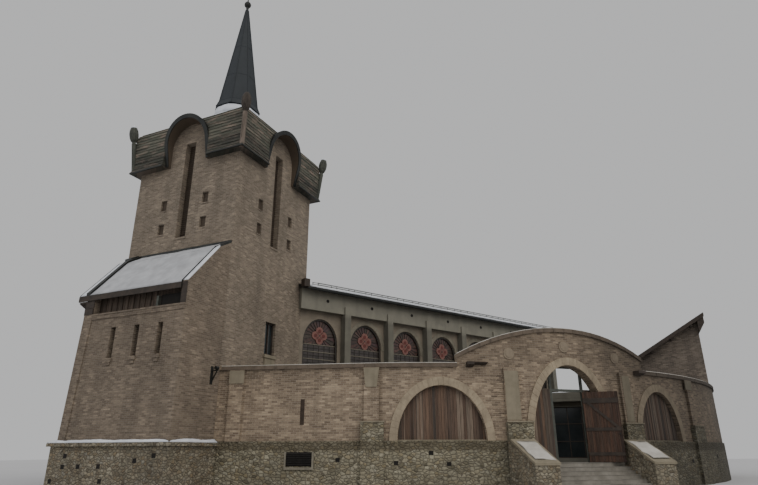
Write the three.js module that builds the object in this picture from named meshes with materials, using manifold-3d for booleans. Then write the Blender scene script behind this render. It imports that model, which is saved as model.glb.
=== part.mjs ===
// A modern brick church: a square tower with a crown of plank roofs and a spire, a lean-to,
// a long nave, a curved courtyard wall with three arches, and a small wing at its far end that a
// low hall joins to the nave.
// Units are millimetres and +Z is up. The straight part of the courtyard wall runs along +X,
// and the street is on the -Y side.
import * as THREE from 'three';
import { mergeVertices } from 'three/addons/utils/BufferGeometryUtils.js';
import Module from 'manifold-3d';

const wasm = await Module();
wasm.setup();

// Clearance left between pieces that touch
const GAP = 0.3;

// Tower shaft, turned against the courtyard wall
const TOWER_SIDE = 7000;
const TOWER_WALL = 380;
const TOWER_TURN = THREE.MathUtils.degToRad(-16.86);
const SHAFT_TOP = 16500;
const GABLE_HALF = 1320;
const GABLE_SPRING = 17690;
const SLIT = { left: -330, width: 690, sill: 12150, head: 17800 };
const SMALL_WINDOW = { offset: 1430, width: 400, height: 620, rows: [12500, 13900] };
const LOW_WINDOW = { along: 200, width: 900, sill: 6300, head: 8000, glass: 30, set: 200 };

// Crown of the tower: half width at each height, from the eave to the neck of the spire
const CROWN_PROFILE = [
  [3950, 16500], [3950, 16600], [3870, 16750], [3880, 17700], [3880, 18700], [3790, 18980],
  [3580, 19150], [3330, 19290], [2940, 19500], [2600, 19680], [1250, 21050],
];
const CROWN_SHELL = 160;
const BARREL_SHELL = 210;
const BARREL_OUT = 4250;
const BARREL_FOOT = 3620;
const BARREL_IN = 2300;
const POST = {
  corner: 3800, base: 16500, radius: 130, lean: 7.5, shaft: 1950, neck: 60, head: 1120, swell: 265,
};
const SPIRE = {
  base: 21050, neck: 1130, neckTop: 21700, flare: 1450, kink: 1270, kinkTop: 22150, tip: 30150,
};
const SPIRE_SHELL = 120;
const BALL_RADIUS = 230;
const BALL_CENTRE = 30500;
const SPIKE_TOP = 31500;

// Lean-to on the front of the tower
const LEAN = {
  depth: 2640, wall: 380, cheek: 300, pier: 550, left: -2700, leftFoot: -3100, right: 3500, sill: 7680,
  eave: 8700, kink: [800, 10840], ridge: 11320, roof: 270, overhang: 60, bandSet: 350, bandThick: 120,
  roofLeft: -3220,
};
const LEAN_SLITS = { centres: [-650, 800, 2200], width: 300, sill: 5550, head: 6950 };
const PLINTH_TOP = 1950;
const PLINTH_OUT = 130;
const LEDGE = { bottom: 1810, out: 260 };

// Nave
const NAVE = {
  start: [1897, 6259], turn: THREE.MathUtils.degToRad(44.39), length: 22750, width: 12000,
  wall: 400, eave: 10700, rise: 1750, roof: 180, overhang: 380, lead: 180,
};
const BAY = { count: 7, width: 3250, first: 1400 };
const NAVE_WINDOW = { width: 2340, spring: 7500, rise: 1450, sill: 6100 };
const PILASTER = { width: 420, out: 480, top: 9800 };
const FASCIA = { bottom: 9350, top: 10570, out: 380 };
const FIRST_PILASTER = 3010;

// Courtyard wall: a straight length, then an arc that turns back from the street
const WALL = { straight: 6430, radius: 21480, thick: 450, top: 5100, end: 33700 };
const COPING = { height: 140, out: 70 };
const BASE = { top: 2000, out: 80 };
const BAY_RAISED = { start: 10800, end: 20750, middle: 16000, radius: 11000, top: 6810 };
const SIDE_ARCHES = [
  { name: 'left', from: 8130, to: 11960, foot: 2000, apex: 4290 },
  { name: 'right', from: 20080, to: 23260, foot: 2000, apex: 4290 },
];
const ENTRANCE = { from: 14100, to: 18130, spring: 1950, apex: 5270 };
const RING = { width: 300, out: 40 };
const WALL_PILASTERS = [[560, 1210], [6700, 7350], [12850, 13520], [18980, 19680], [24550, 25300]];
const PILASTER_OUT = 130;
const PILASTER_TOP = 5060;
const PIERS = [[6580, 7550], [12830, 14000], [18880, 20000], [24450, 25700]];
const PIER_TOP = 2740;
const PIER_OUT = 230;
const PIER_CLEAR = 9;
const INFILL = { set: 180, thick: 80, clear: 8 };
const ARCH_STEPS = 18;

// Entrance: threshold, steps, screen of planks and the hinged leaf
const STEP = { count: 7, rise: 157, going: 300, landing: 150, half: 1965, halfOutside: 2300 };
const THRESHOLD = 1100;
const CHEEK = { width: 1080, reach: 1950, low: 1080, high: 2000 };
const SCREEN = { behind: 4, thick: 90, lap: 150, head: 4250, post: 120, frameTop: 5300, rail: 110 };
const PASSAGE = { from: 15450, to: 17050 };
const LEAF = { width: 1520, height: 3010, thick: 60, gap: 16, below: 22, open: 142 };
const HINGE = { depth: 428, offset: 22, radius: 16, length: 180, pin: 70, arm: 50, heights: [500, 2500] };

// Right wing
const WING = {
  corner: [26805, 14880], width: 6400, depth: 5200, wall: 380, high: 9720, low: 5930,
  roof: 180, overhang: 450,
};

// Low hall that joins the wing to the far end of the nave, drawn in the wing's frame
const HALL = {
  left: -12600, front: 2400, wall: 300, top: 4980, roof: 650, overhang: 500, back: 200,
  door: { from: -10350, to: -7350, sill: 1100, head: 4650 }, glass: 30, lap: 120,
};

const COLOURS = {
  brick: [0x9c8f7c, 0.95], rubble: [0xa39b8a, 0.95], planks: [0x5a4438, 0.85], shingles: [0x4a4a3c, 0.85],
  metal: [0x2f3436, 0.6], spire: [0x3a4148, 0.55], timber: [0x6a5a48, 0.85], concrete: [0x7c8478, 0.9],
  glass: [0x2a3438, 0.2], stone: [0xc8c2b2, 0.9],
};

function paint(kind) {
  const [color, roughness] = COLOURS[kind];
  const metalness = kind === 'spire' || kind === 'metal' ? 0.6 : 0;
  return new THREE.MeshStandardMaterial({ color, roughness, metalness });
}

function piece(name, geometry, kind) {
  const mesh = new THREE.Mesh(geometry, paint(kind));
  mesh.name = name;
  return mesh;
}

// Closed solids for cutting and joining

function solid(geometry) {
  const bare = geometry.index ? geometry.toNonIndexed() : geometry.clone();
  bare.deleteAttribute('normal');
  bare.deleteAttribute('uv');
  const merged = mergeVertices(bare, 0.01);
  return new wasm.Manifold(new wasm.Mesh({
    numProp: 3,
    vertProperties: new Float32Array(merged.attributes.position.array),
    triVerts: new Uint32Array(merged.index.array),
  }));
}

function shell(manifold) {
  const mesh = manifold.getMesh();
  const geometry = new THREE.BufferGeometry();
  geometry.setAttribute('position', new THREE.BufferAttribute(mesh.vertProperties, 3));
  geometry.setIndex(new THREE.BufferAttribute(mesh.triVerts, 1));
  geometry.computeVertexNormals();
  return geometry;
}

function join(geometries) {
  return shell(geometries.map(solid).reduce((all, next) => all.add(next)));
}

function cut(geometry, tools) {
  return shell(tools.map(solid).reduce((left, tool) => left.subtract(tool), solid(geometry)));
}

// Basic forms

function block(x0, x1, y0, y1, z0, z1) {
  const geometry = new THREE.BoxGeometry(x1 - x0, y1 - y0, z1 - z0);
  return geometry.translate((x0 + x1) / 2, (y0 + y1) / 2, (z0 + z1) / 2);
}

function outline(points) {
  return new THREE.Shape(points.map(([x, y]) => new THREE.Vector2(x, y)));
}

// An upright plate: a shape drawn in x and z, between the depths y0 and y1
function plate(shape, y0, y1, curveSegments = 12) {
  const options = { depth: y1 - y0, bevelEnabled: false, curveSegments };
  return new THREE.ExtrudeGeometry(shape, options).rotateX(Math.PI / 2).translate(0, y1, 0);
}

// A prism on a plan outline, between the heights z0 and z1
function prism(points, z0, z1) {
  const options = { depth: z1 - z0, bevelEnabled: false };
  return new THREE.ExtrudeGeometry(outline(points), options).translate(0, 0, z0);
}

// Stacked rings of equal length joined into one closed body; each ring is a convex outline
function stack(rings) {
  const count = rings[0].length;
  const positions = rings.flat(2);
  const faces = [];
  for (let level = 0; level < rings.length - 1; level += 1) {
    for (let i = 0; i < count; i += 1) {
      const a = level * count + i;
      const b = level * count + ((i + 1) % count);
      faces.push(a, b, b + count, a, b + count, a + count);
    }
  }
  const top = (rings.length - 1) * count;
  for (let i = 1; i < count - 1; i += 1) {
    faces.push(0, i + 1, i);
    faces.push(top, top + i, top + i + 1);
  }
  const geometry = new THREE.BufferGeometry();
  geometry.setAttribute('position', new THREE.Float32BufferAttribute(positions, 3));
  geometry.setIndex(faces);
  geometry.computeVertexNormals();
  return geometry;
}

function squareRing(half, z) {
  return [[-half, -half, z], [half, -half, z], [half, half, z], [-half, half, z]];
}

// Tower

// The tower stands with its near corner at the start of the courtyard wall
function towerPlace() {
  const half = TOWER_SIDE / 2;
  const corner = new THREE.Vector2(half, -half).rotateAround(new THREE.Vector2(), TOWER_TURN);
  return new THREE.Matrix4().makeRotationZ(TOWER_TURN).setPosition(-corner.x, -corner.y, 0);
}

// A rectangular opening through an upright plate
function slot(left, width, sill, head) {
  return block(left, left + width, -20000, 20000, sill, head);
}

function gableOutline(half) {
  const shape = new THREE.Shape();
  shape.moveTo(-half, 0);
  shape.lineTo(half, 0);
  shape.lineTo(half, SHAFT_TOP);
  shape.lineTo(GABLE_HALF, SHAFT_TOP);
  shape.lineTo(GABLE_HALF, GABLE_SPRING);
  shape.absarc(0, GABLE_SPRING, GABLE_HALF, 0, Math.PI, false);
  shape.lineTo(-GABLE_HALF, SHAFT_TOP);
  shape.lineTo(-half, SHAFT_TOP);
  return shape;
}

function towerWall(half, low) {
  const holes = [slot(SLIT.left, SLIT.width, SLIT.sill, SLIT.head)];
  for (const side of [-1, 1]) {
    for (const sill of SMALL_WINDOW.rows) {
      const left = side * SMALL_WINDOW.offset - SMALL_WINDOW.width / 2;
      holes.push(slot(left, SMALL_WINDOW.width, sill, sill + SMALL_WINDOW.height));
    }
  }
  if (low) {
    holes.push(slot(low.along - low.width / 2, low.width, low.sill, low.head));
  }
  return cut(plate(gableOutline(half), -TOWER_SIDE / 2, -TOWER_SIDE / 2 + TOWER_WALL), holes);
}

function towerShaft() {
  const half = TOWER_SIDE / 2;
  const between = half - TOWER_WALL - GAP;
  const shaft = new THREE.Group();
  shaft.add(piece('tower_front_wall', towerWall(half), 'brick'));
  shaft.add(piece('tower_back_wall', towerWall(half).rotateZ(Math.PI), 'brick'));
  shaft.add(piece('tower_right_wall', towerWall(between, LOW_WINDOW).rotateZ(Math.PI / 2), 'brick'));
  shaft.add(piece('tower_left_wall', towerWall(between).rotateZ(-Math.PI / 2), 'brick'));
  const face = -half + LOW_WINDOW.set;
  const side = LOW_WINDOW.width / 2 - GAP;
  const pane = block(LOW_WINDOW.along - side, LOW_WINDOW.along + side, face, face + LOW_WINDOW.glass,
    LOW_WINDOW.sill + GAP, LOW_WINDOW.head - GAP);
  shaft.add(piece('tower_low_window', pane.rotateZ(Math.PI / 2), 'glass'));
  return shaft;
}

// The space that a gable and its barrel roof take, from the middle of the tower outwards
function barrelOutline(radius, foot) {
  const shape = new THREE.Shape();
  shape.moveTo(radius, foot);
  shape.lineTo(radius, GABLE_SPRING);
  shape.absarc(0, GABLE_SPRING, radius, 0, Math.PI, false);
  shape.lineTo(-radius, foot);
  return shape;
}

// The roof's front edge leans outwards from its foot to its top
function barrelRoof() {
  const outer = GABLE_HALF + BARREL_SHELL;
  const inner = GABLE_HALF + GAP;
  const shape = new THREE.Shape();
  shape.moveTo(outer, SHAFT_TOP + GAP);
  shape.lineTo(outer, GABLE_SPRING);
  shape.absarc(0, GABLE_SPRING, outer, 0, Math.PI, false);
  shape.lineTo(-outer, SHAFT_TOP + GAP);
  shape.lineTo(-inner, SHAFT_TOP + GAP);
  shape.lineTo(-inner, GABLE_SPRING);
  shape.absarc(0, GABLE_SPRING, inner, Math.PI, 0, true);
  shape.lineTo(inner, SHAFT_TOP + GAP);
  const low = SHAFT_TOP - 100;
  const high = GABLE_SPRING + outer + 100;
  const far = 6000;
  const front = outline([[-far, low], [-BARREL_FOOT, low], [-BARREL_OUT, high], [-far, high]]);
  return cut(plate(shape, -BARREL_OUT - 100, -BARREL_IN), [lengthwise(front, -far, far)]);
}

function crownShell() {
  const outer = stack(CROWN_PROFILE.map(([half, z]) => squareRing(half, z + GAP)));
  const hollow = CROWN_PROFILE.map(([half, z]) => {
    const inside = Math.min(half - CROWN_SHELL, TOWER_SIDE / 2 - TOWER_WALL);
    return squareRing(inside, z - (half < 3700 ? CROWN_SHELL : 0));
  });
  hollow[0] = squareRing(TOWER_SIDE / 2 - TOWER_WALL, SHAFT_TOP - 100);
  const barrel = plate(barrelOutline(GABLE_HALF + BARREL_SHELL + GAP, SHAFT_TOP - 100), -5000, 5000);
  return cut(outer, [stack(hollow), barrel, barrel.clone().rotateZ(Math.PI / 2)]);
}

function postAxis(geometry, sx, sy) {
  const turn = new THREE.Matrix4().makeRotationAxis(
    new THREE.Vector3(-sy, sx, 0).normalize(), THREE.MathUtils.degToRad(POST.lean));
  const place = new THREE.Matrix4().makeTranslation(sx * POST.corner, sy * POST.corner, POST.base);
  return geometry.applyMatrix4(place.multiply(turn));
}

// A carved post: a straight shaft, a neck, and an egg-shaped head
function cornerPost() {
  const r = POST.radius;
  const bottom = POST.shaft + POST.neck;
  const profile = [[0, 0], [r, 0], [r, POST.shaft], [r * 0.8, bottom]];
  for (let i = 1; i < 8; i += 1) {
    const angle = (Math.PI * i) / 8;
    profile.push([Math.sin(angle) * POST.swell, bottom + (POST.head * (1 - Math.cos(angle))) / 2]);
  }
  profile.push([0, bottom + POST.head]);
  const points = profile.map(([x, y]) => new THREE.Vector2(x, y));
  return new THREE.LatheGeometry(points, 12).rotateX(Math.PI / 2);
}

function crown() {
  const group = new THREE.Group();
  const names = [['back_right', 1, 1], ['back_left', -1, 1], ['front_left', -1, -1], ['front_right', 1, -1]];
  const whole = crownShell();
  for (const [name, sx, sy] of names) {
    const far = 6000;
    const quarter = block(sx > 0 ? GAP / 2 : -far, sx > 0 ? far : -GAP / 2,
      sy > 0 ? GAP / 2 : -far, sy > 0 ? far : -GAP / 2, 16000, 22000);
    const notch = postAxis(new THREE.CylinderGeometry(POST.radius + GAP, POST.radius + GAP, 6000, 12)
      .rotateX(Math.PI / 2), sx, sy);
    const room = postAxis(new THREE.CylinderGeometry(POST.swell + GAP, POST.swell + GAP, POST.shaft, 12)
      .rotateX(Math.PI / 2).translate(0, 0, POST.shaft * 1.5), sx, sy);
    const part = solid(whole).intersect(solid(quarter)).subtract(solid(notch));
    const corner = shell(part.subtract(solid(room)));
    group.add(piece(`crown_roof_${name}`, corner, 'shingles'));
    group.add(piece(`corner_post_${name}`, postAxis(cornerPost(), sx, sy), 'timber'));
  }
  const sides = [['front', 0], ['right', Math.PI / 2], ['back', Math.PI], ['left', -Math.PI / 2]];
  for (const [name, turn] of sides) {
    group.add(piece(`gable_roof_${name}`, barrelRoof().rotateZ(turn), 'metal'));
  }
  return group;
}

function spire() {
  const group = new THREE.Group();
  const s = SPIRE;
  const apex = s.tip - s.base;
  const outer = [
    [s.neck, GAP], [s.neck, s.neckTop - s.base], [s.flare, s.neckTop - s.base],
    [s.kink, s.kinkTop - s.base], [BALL_RADIUS / 3, apex], [0, apex],
  ];
  const inner = [
    [0, apex - 1200], [s.kink - SPIRE_SHELL, s.kinkTop - s.base],
    [s.neck - SPIRE_SHELL, s.neckTop - s.base], [s.neck - SPIRE_SHELL, GAP],
  ];
  const points = [...inner, ...outer].map(([x, y]) => new THREE.Vector2(x, y));
  const roof = new THREE.LatheGeometry(points, 8).rotateX(Math.PI / 2).rotateZ(Math.PI / 8);
  group.add(piece('spire', roof.translate(0, 0, s.base), 'spire'));
  const ball = [[0, s.tip + GAP], [90, s.tip + GAP]];
  for (let i = 1; i < 8; i += 1) {
    const angle = (Math.PI * i) / 8;
    ball.push([Math.max(BALL_RADIUS * Math.sin(angle), 60), BALL_CENTRE - BALL_RADIUS * Math.cos(angle)]);
  }
  ball.push([50, BALL_CENTRE + BALL_RADIUS], [15, SPIKE_TOP], [0, SPIKE_TOP]);
  const finial = new THREE.LatheGeometry(ball.map(([x, y]) => new THREE.Vector2(x, y)), 12);
  group.add(piece('spire_ball', finial.rotateX(Math.PI / 2), 'metal'));
  return group;
}

// Lean-to

// Height of the lean-to roof's upper face at a distance in front of the tower: it bends once
function leanTop(distance) {
  const [at, height] = LEAN.kink;
  const slope = distance > at ? (height - LEAN.eave) / (LEAN.depth - at) : (LEAN.ridge - height) / at;
  return height - slope * (distance - at);
}

function leanUnder(distance) {
  return leanTop(distance) - LEAN.roof;
}

function leanTo() {
  const group = new THREE.Group();
  const back = -TOWER_SIDE / 2 - GAP;
  const front = -TOWER_SIDE / 2 - LEAN.depth;
  const rightInner = LEAN.right - LEAN.cheek;
  const leftInner = LEAN.left + LEAN.pier;

  // Front wall up to the sill of the band
  const face = outline([[LEAN.leftFoot, 0], [rightInner - GAP, 0], [rightInner - GAP, LEAN.sill],
    [LEAN.left, LEAN.sill]]);
  const slits = LEAN_SLITS.centres.map((centre) => slot(
    centre - LEAN_SLITS.width / 2, LEAN_SLITS.width, LEAN_SLITS.sill, LEAN_SLITS.head));
  group.add(piece('lean_to_front_wall', cut(plate(face, front, front + LEAN.wall), slits), 'brick'));

  // Side walls: the right one rises beside the roof, and the left one carries it
  const [bend, bendTop] = LEAN.kink;
  const kink = -TOWER_SIDE / 2 - bend;
  const rightShape = outline([[front, 0], [back, 0], [back, LEAN.ridge], [kink, bendTop],
    [front, LEAN.eave]]);
  group.add(piece('lean_to_right_wall', lengthwise(rightShape, rightInner, LEAN.right), 'brick'));
  const leftFront = front + LEAN.wall + GAP;
  const corbel = LEAN.sill + GAP;
  const leftShape = outline([[leftFront, 0], [back, 0], [back, leanUnder(0) - GAP],
    [kink, leanUnder(bend) - GAP], [front, leanUnder(LEAN.depth) - GAP],
    [front, corbel], [leftFront, corbel]]);
  const leftWall = lengthwise(leftShape, LEAN.leftFoot, leftInner);
  const batter = outline([[LEAN.leftFoot - 500, -10], [LEAN.leftFoot, -10], [LEAN.left, LEAN.sill],
    [LEAN.left, 13000], [LEAN.leftFoot - 500, 13000]]);
  group.add(piece('lean_to_left_wall', cut(leftWall, [plate(batter, -9000, 0)]), 'brick'));

  // Dark band under the eave
  const bandFace = front + LEAN.bandSet;
  const bandTop = leanUnder(LEAN.depth - LEAN.bandSet) - 40;
  const bandBack = bandFace + LEAN.bandThick;
  const wallBack = front + LEAN.wall + GAP;
  const [bandLeft, bandRight] = [leftInner + GAP, rightInner - GAP];
  const band = block(bandLeft, bandRight, bandFace, bandBack, LEAN.sill - 300, bandTop);
  const seat = block(bandLeft, bandRight, wallBack, bandBack, LEAN.sill - 400, LEAN.sill);
  const clear = block(-9000, 9000, front - 10, wallBack, LEAN.sill - 500, LEAN.sill + GAP);
  group.add(piece('lean_to_eave_band', cut(join([band, seat]), [clear]), 'timber'));

  // Roof slab
  const low = LEAN.depth + LEAN.overhang;
  const eave = -TOWER_SIDE / 2 - low;
  const slab = outline([[eave, leanUnder(low)], [kink, leanUnder(bend)], [back, leanUnder(0)],
    [back, LEAN.ridge], [kink, bendTop], [eave, leanTop(low)]]);
  group.add(piece('lean_to_roof', lengthwise(slab, LEAN.roofLeft, rightInner - GAP), 'metal'));

  // Rubble plinth and its ledge, round the front and both sides
  const skirt = (out, z0, z1) => {
    const inner = [[LEAN.right + GAP, back], [LEAN.right + GAP, front - GAP],
      [LEAN.leftFoot - GAP, front - GAP], [LEAN.leftFoot - GAP, back]];
    const outer = [[LEAN.leftFoot - out, back], [LEAN.leftFoot - out, front - out],
      [LEAN.right + out, front - out], [LEAN.right + out, back]];
    return prism([...inner, ...outer], z0, z1);
  };
  const plinth = join([skirt(PLINTH_OUT, 0, LEDGE.bottom + 1), skirt(LEDGE.out, LEDGE.bottom, PLINTH_TOP)]);
  group.add(piece('lean_to_plinth', plinth, 'rubble'));
  return group;
}

// Nave, in its own frame: x along the courtyard side, y into the building

function navePlace() {
  return new THREE.Matrix4().makeRotationZ(NAVE.turn).setPosition(NAVE.start[0], NAVE.start[1], 0);
}

// The tower's foot print, seen from the nave, keeps the nave's first corner clear of the tower
function clearOfTower(geometry) {
  const reach = TOWER_SIDE / 2 + GAP;
  const shaft = block(-reach, reach, -reach, reach, -100, 40000).applyMatrix4(towerPlace());
  return cut(geometry, [shaft.applyMatrix4(navePlace().invert())]);
}

// The wall of a long side, with an arched window in each bay
function naveSide() {
  const wall = block(-NAVE.lead, NAVE.length, 0, NAVE.wall, 0, NAVE.eave);
  const half = NAVE_WINDOW.width / 2;
  const windows = [];
  for (let bay = 0; bay < BAY.count; bay += 1) {
    const centre = BAY.first + bay * BAY.width;
    const hole = new THREE.Shape();
    hole.moveTo(centre - half, NAVE_WINDOW.sill);
    hole.lineTo(centre + half, NAVE_WINDOW.sill);
    hole.lineTo(centre + half, NAVE_WINDOW.spring);
    hole.absellipse(centre, NAVE_WINDOW.spring, half, NAVE_WINDOW.rise, 0, Math.PI, false);
    windows.push(plate(hole, -100, NAVE.wall + 100, 10));
  }
  return cut(wall, windows);
}

// The band of concrete under the eave and the pilasters below it
function naveFrame() {
  const parts = [block(-NAVE.lead, NAVE.length, -FASCIA.out, -GAP, FASCIA.bottom, FASCIA.top)];
  for (let bay = 0; bay < BAY.count; bay += 1) {
    const left = FIRST_PILASTER + bay * BAY.width - PILASTER.width / 2;
    parts.push(block(left, left + PILASTER.width, -PILASTER.out, -GAP, 0, PILASTER.top));
  }
  return join(parts);
}

function naveGlass() {
  return block(NAVE.wall - NAVE.lead + GAP, NAVE.length - NAVE.wall - GAP, NAVE.wall + GAP, NAVE.wall + 30,
    NAVE_WINDOW.sill - 100, NAVE_WINDOW.spring + NAVE_WINDOW.rise + 100);
}

// The far long side repeats the courtyard side, turned about the middle of the nave
function farSide(geometry) {
  return geometry.rotateZ(Math.PI).translate(NAVE.length - NAVE.lead, NAVE.width, 0);
}

// A shape drawn in y and z, between two places along x
function lengthwise(shape, x0, x1) {
  const options = { depth: x1 - x0, bevelEnabled: false };
  const upright = new THREE.ExtrudeGeometry(shape, options).rotateX(Math.PI / 2);
  return upright.rotateZ(Math.PI / 2).translate(x0, 0, 0);
}

function naveRoof() {
  const over = NAVE.overhang + FASCIA.out;
  const half = NAVE.width / 2;
  const pitch = NAVE.rise / half;
  const eave = NAVE.eave + GAP;
  const shape = outline([
    [-over, eave - over * pitch], [half, eave + NAVE.rise], [NAVE.width + over, eave - over * pitch],
    [NAVE.width + over, eave - over * pitch + NAVE.roof], [half, eave + NAVE.rise + NAVE.roof],
    [-over, eave - over * pitch + NAVE.roof],
  ]);
  return clearOfTower(lengthwise(shape, -NAVE.lead - 120, NAVE.length + 300));
}

function naveEnd(x0) {
  const y0 = NAVE.wall + GAP;
  const y1 = NAVE.width - NAVE.wall - GAP;
  const pitch = NAVE.rise / (NAVE.width / 2);
  const shape = outline([[y0, 0], [y1, 0], [y1, NAVE.eave + NAVE.wall * pitch],
    [NAVE.width / 2, NAVE.eave + NAVE.rise], [y0, NAVE.eave + NAVE.wall * pitch]]);
  return clearOfTower(lengthwise(shape, x0, x0 + NAVE.wall));
}

function nave() {
  const group = new THREE.Group();
  group.add(piece('nave_front_wall', clearOfTower(naveSide()), 'concrete'));
  group.add(piece('nave_back_wall', farSide(naveSide()), 'concrete'));
  group.add(piece('nave_front_frame', clearOfTower(naveFrame()), 'concrete'));
  group.add(piece('nave_back_frame', farSide(naveFrame()), 'concrete'));
  group.add(piece('nave_front_glass', clearOfTower(naveGlass()), 'glass'));
  group.add(piece('nave_back_glass', farSide(naveGlass()), 'glass'));
  group.add(piece('nave_tower_end_wall', naveEnd(-NAVE.lead), 'concrete'));
  group.add(piece('nave_far_end_wall', naveEnd(NAVE.length - NAVE.wall), 'concrete'));
  group.add(piece('nave_roof', naveRoof(), 'metal'));
  return group;
}

// Courtyard wall: a place along the outer face, moved inwards by a depth

function wallPlace(s, depth) {
  if (s <= WALL.straight) {
    return [s, depth];
  }
  const angle = (s - WALL.straight) / WALL.radius;
  const r = WALL.radius - depth;
  return [WALL.straight + r * Math.sin(angle), WALL.radius - r * Math.cos(angle)];
}

// Top of the raised bay's brickwork, a flat arc with a step down at each end
function raisedLine(s) {
  const from = s - BAY_RAISED.middle;
  return BAY_RAISED.top - BAY_RAISED.radius + Math.sqrt(BAY_RAISED.radius ** 2 - from * from);
}

// Height of an arch's edge, widened by the width of its stone ring
function archLine(arch, s, ring = 0) {
  const half = (arch.to - arch.from) / 2 + ring;
  const from = (s - (arch.from + arch.to) / 2) / half;
  const foot = arch.spring ?? arch.foot;
  return foot + (arch.apex + ring - foot) * Math.sqrt(Math.max(0, 1 - from * from));
}

function stations(from, to, step = 650) {
  const count = Math.max(1, Math.round((to - from) / step));
  const list = Array.from({ length: count + 1 }, (_, i) => from + ((to - from) * i) / count);
  if (WALL.straight > from + 60 && WALL.straight < to - 60) {
    list.push(WALL.straight);
  }
  return list.sort((a, b) => a - b);
}

// Stations closer together towards the springing of an arch, where it is steep
function archStations(from, to, count = 14) {
  const half = (to - from) / 2;
  const angles = Array.from({ length: count + 1 }, (_, i) => (Math.PI * i) / count);
  return angles.map((angle) => from + half * (1 - Math.cos(angle)));
}

// A length of wall: at each station a four-cornered section, from bottom to top
function wallStrip(list, bottomOf, topOf, outer, inner) {
  const rings = list.map((s) => {
    const [xo, yo] = wallPlace(s, outer);
    const [xi, yi] = wallPlace(s, inner);
    const low = bottomOf(s);
    const high = topOf(s);
    return [[xo, yo, low], [xi, yi, low], [xi, yi, high], [xo, yo, high]];
  });
  return stack(rings);
}

const flat = (z) => () => z;

function ringStrip(arch) {
  const half = (arch.to - arch.from) / 2;
  const middle = (arch.from + arch.to) / 2;
  const foot = arch.spring ?? arch.foot;
  const rings = [];
  const count = 16;
  for (let i = 0; i <= count; i += 1) {
    const angle = Math.PI - (Math.PI * i) / count;
    const at = (ring, depth) => {
      const s = middle + (half + ring) * Math.cos(angle);
      return [...wallPlace(s, depth), foot + (arch.apex + ring - foot) * Math.sin(angle)];
    };
    rings.push([at(GAP, -RING.out), at(GAP, 30), at(RING.width, 30), at(RING.width, -RING.out)]);
  }
  return stack(rings);
}

// Brickwork and coping of one length of the wall, with its share of the raised bay
function wallBody(from, to, list) {
  const out = COPING.out;
  const course = (places, line) => wallStrip(places, (s) => line(s) - 25, (s) => line(s) + COPING.height,
    -out, WALL.thick + out);
  const parts = [wallStrip(list, flat(BASE.top + GAP), flat(WALL.top), 0, WALL.thick)];
  const lowEnd = Math.min(to, BAY_RAISED.start);
  const lowStart = Math.max(from, BAY_RAISED.end);
  if (lowEnd > from) {
    parts.push(course(stations(from, lowEnd), flat(WALL.top)));
  }
  if (lowStart < to) {
    parts.push(course(stations(lowStart, to), flat(WALL.top)));
  }
  const start = Math.max(from, BAY_RAISED.start);
  const end = Math.min(to, BAY_RAISED.end);
  if (end > start) {
    const places = stations(start, end, 500);
    parts.push(wallStrip(places, flat(WALL.top - 25), raisedLine, 0, WALL.thick));
    parts.push(course(places, raisedLine));
  }
  return parts;
}

function wallLength(from, to, extras = []) {
  return join([...wallBody(from, to, stations(from, to)), ...extras]);
}

function archHead(arch, extras = []) {
  const from = arch.from - RING.width;
  const to = arch.to + RING.width;
  const whole = join([...wallBody(from, to, archStations(from, to)), ringStrip(arch), ...extras]);
  const deep = WALL.thick + 500;
  const list = archStations(arch.from, arch.to, ARCH_STEPS);
  const hole = wallStrip(list, flat(-100), (s) => archLine(arch, s), -500, deep);
  const foot = wallStrip(stations(from - 100, to + 100), flat(-200), flat(BASE.top + GAP), -500, deep);
  return cut(whole, [hole, foot]);
}

function wallPilaster([from, to]) {
  return wallStrip([from, (from + to) / 2, to], flat(BASE.top + GAP), flat(PILASTER_TOP), -PILASTER_OUT, 30);
}

// The feet of the arches' stone rings, with a little room round them
function ringFeet() {
  return [...SIDE_ARCHES, ENTRANCE].flatMap((arch) => [
    [arch.from - RING.width - GAP, arch.from + GAP], [arch.to - GAP, arch.to + RING.width + GAP],
  ]).map((ends) => wallStrip(ends, flat(BASE.top), flat(PIER_TOP + 100), -RING.out - PIER_CLEAR, 60));
}

// A rubble base with the piers that stand in front of some of the pilasters
function plinth(base, which) {
  const piers = which.map((i) => {
    const [from, to] = PIERS[i - 1];
    const [left, right] = WALL_PILASTERS[i];
    const foot = wallStrip([from, to], flat(0), flat(BASE.top), -PIER_OUT, 30);
    const head = wallStrip([from, to], flat(BASE.top - 20), flat(PIER_TOP), -PIER_OUT, -PIER_CLEAR);
    const width = [left - GAP, (left + right) / 2, right + GAP];
    const pilaster = wallStrip(width, flat(BASE.top), flat(PIER_TOP + 100), -PILASTER_OUT - GAP, 60);
    return join([foot, cut(head, [pilaster, ...ringFeet()])]);
  });
  return join([base, ...piers]);
}

// The wall's first corner is cut back to the side of the tower and of the lean-to's plinth
function clearOfLeanTo(geometry) {
  const face = TOWER_SIDE / 2 + GAP;
  const shaft = block(-20000, face, -20000, 20000, -100, 40000);
  const skirt = block(0, face + LEDGE.out, -20000, -TOWER_SIDE / 2, -100, PLINTH_TOP + GAP);
  return cut(geometry, [shaft, skirt].map((tool) => tool.applyMatrix4(towerPlace())));
}

// The wall's far end is cut along the front of the wing
function clearOfWing(geometry) {
  return cut(geometry, [block(-20000, 20000, -GAP, 20000, -100, 40000).applyMatrix4(wingPlace())]);
}

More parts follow.
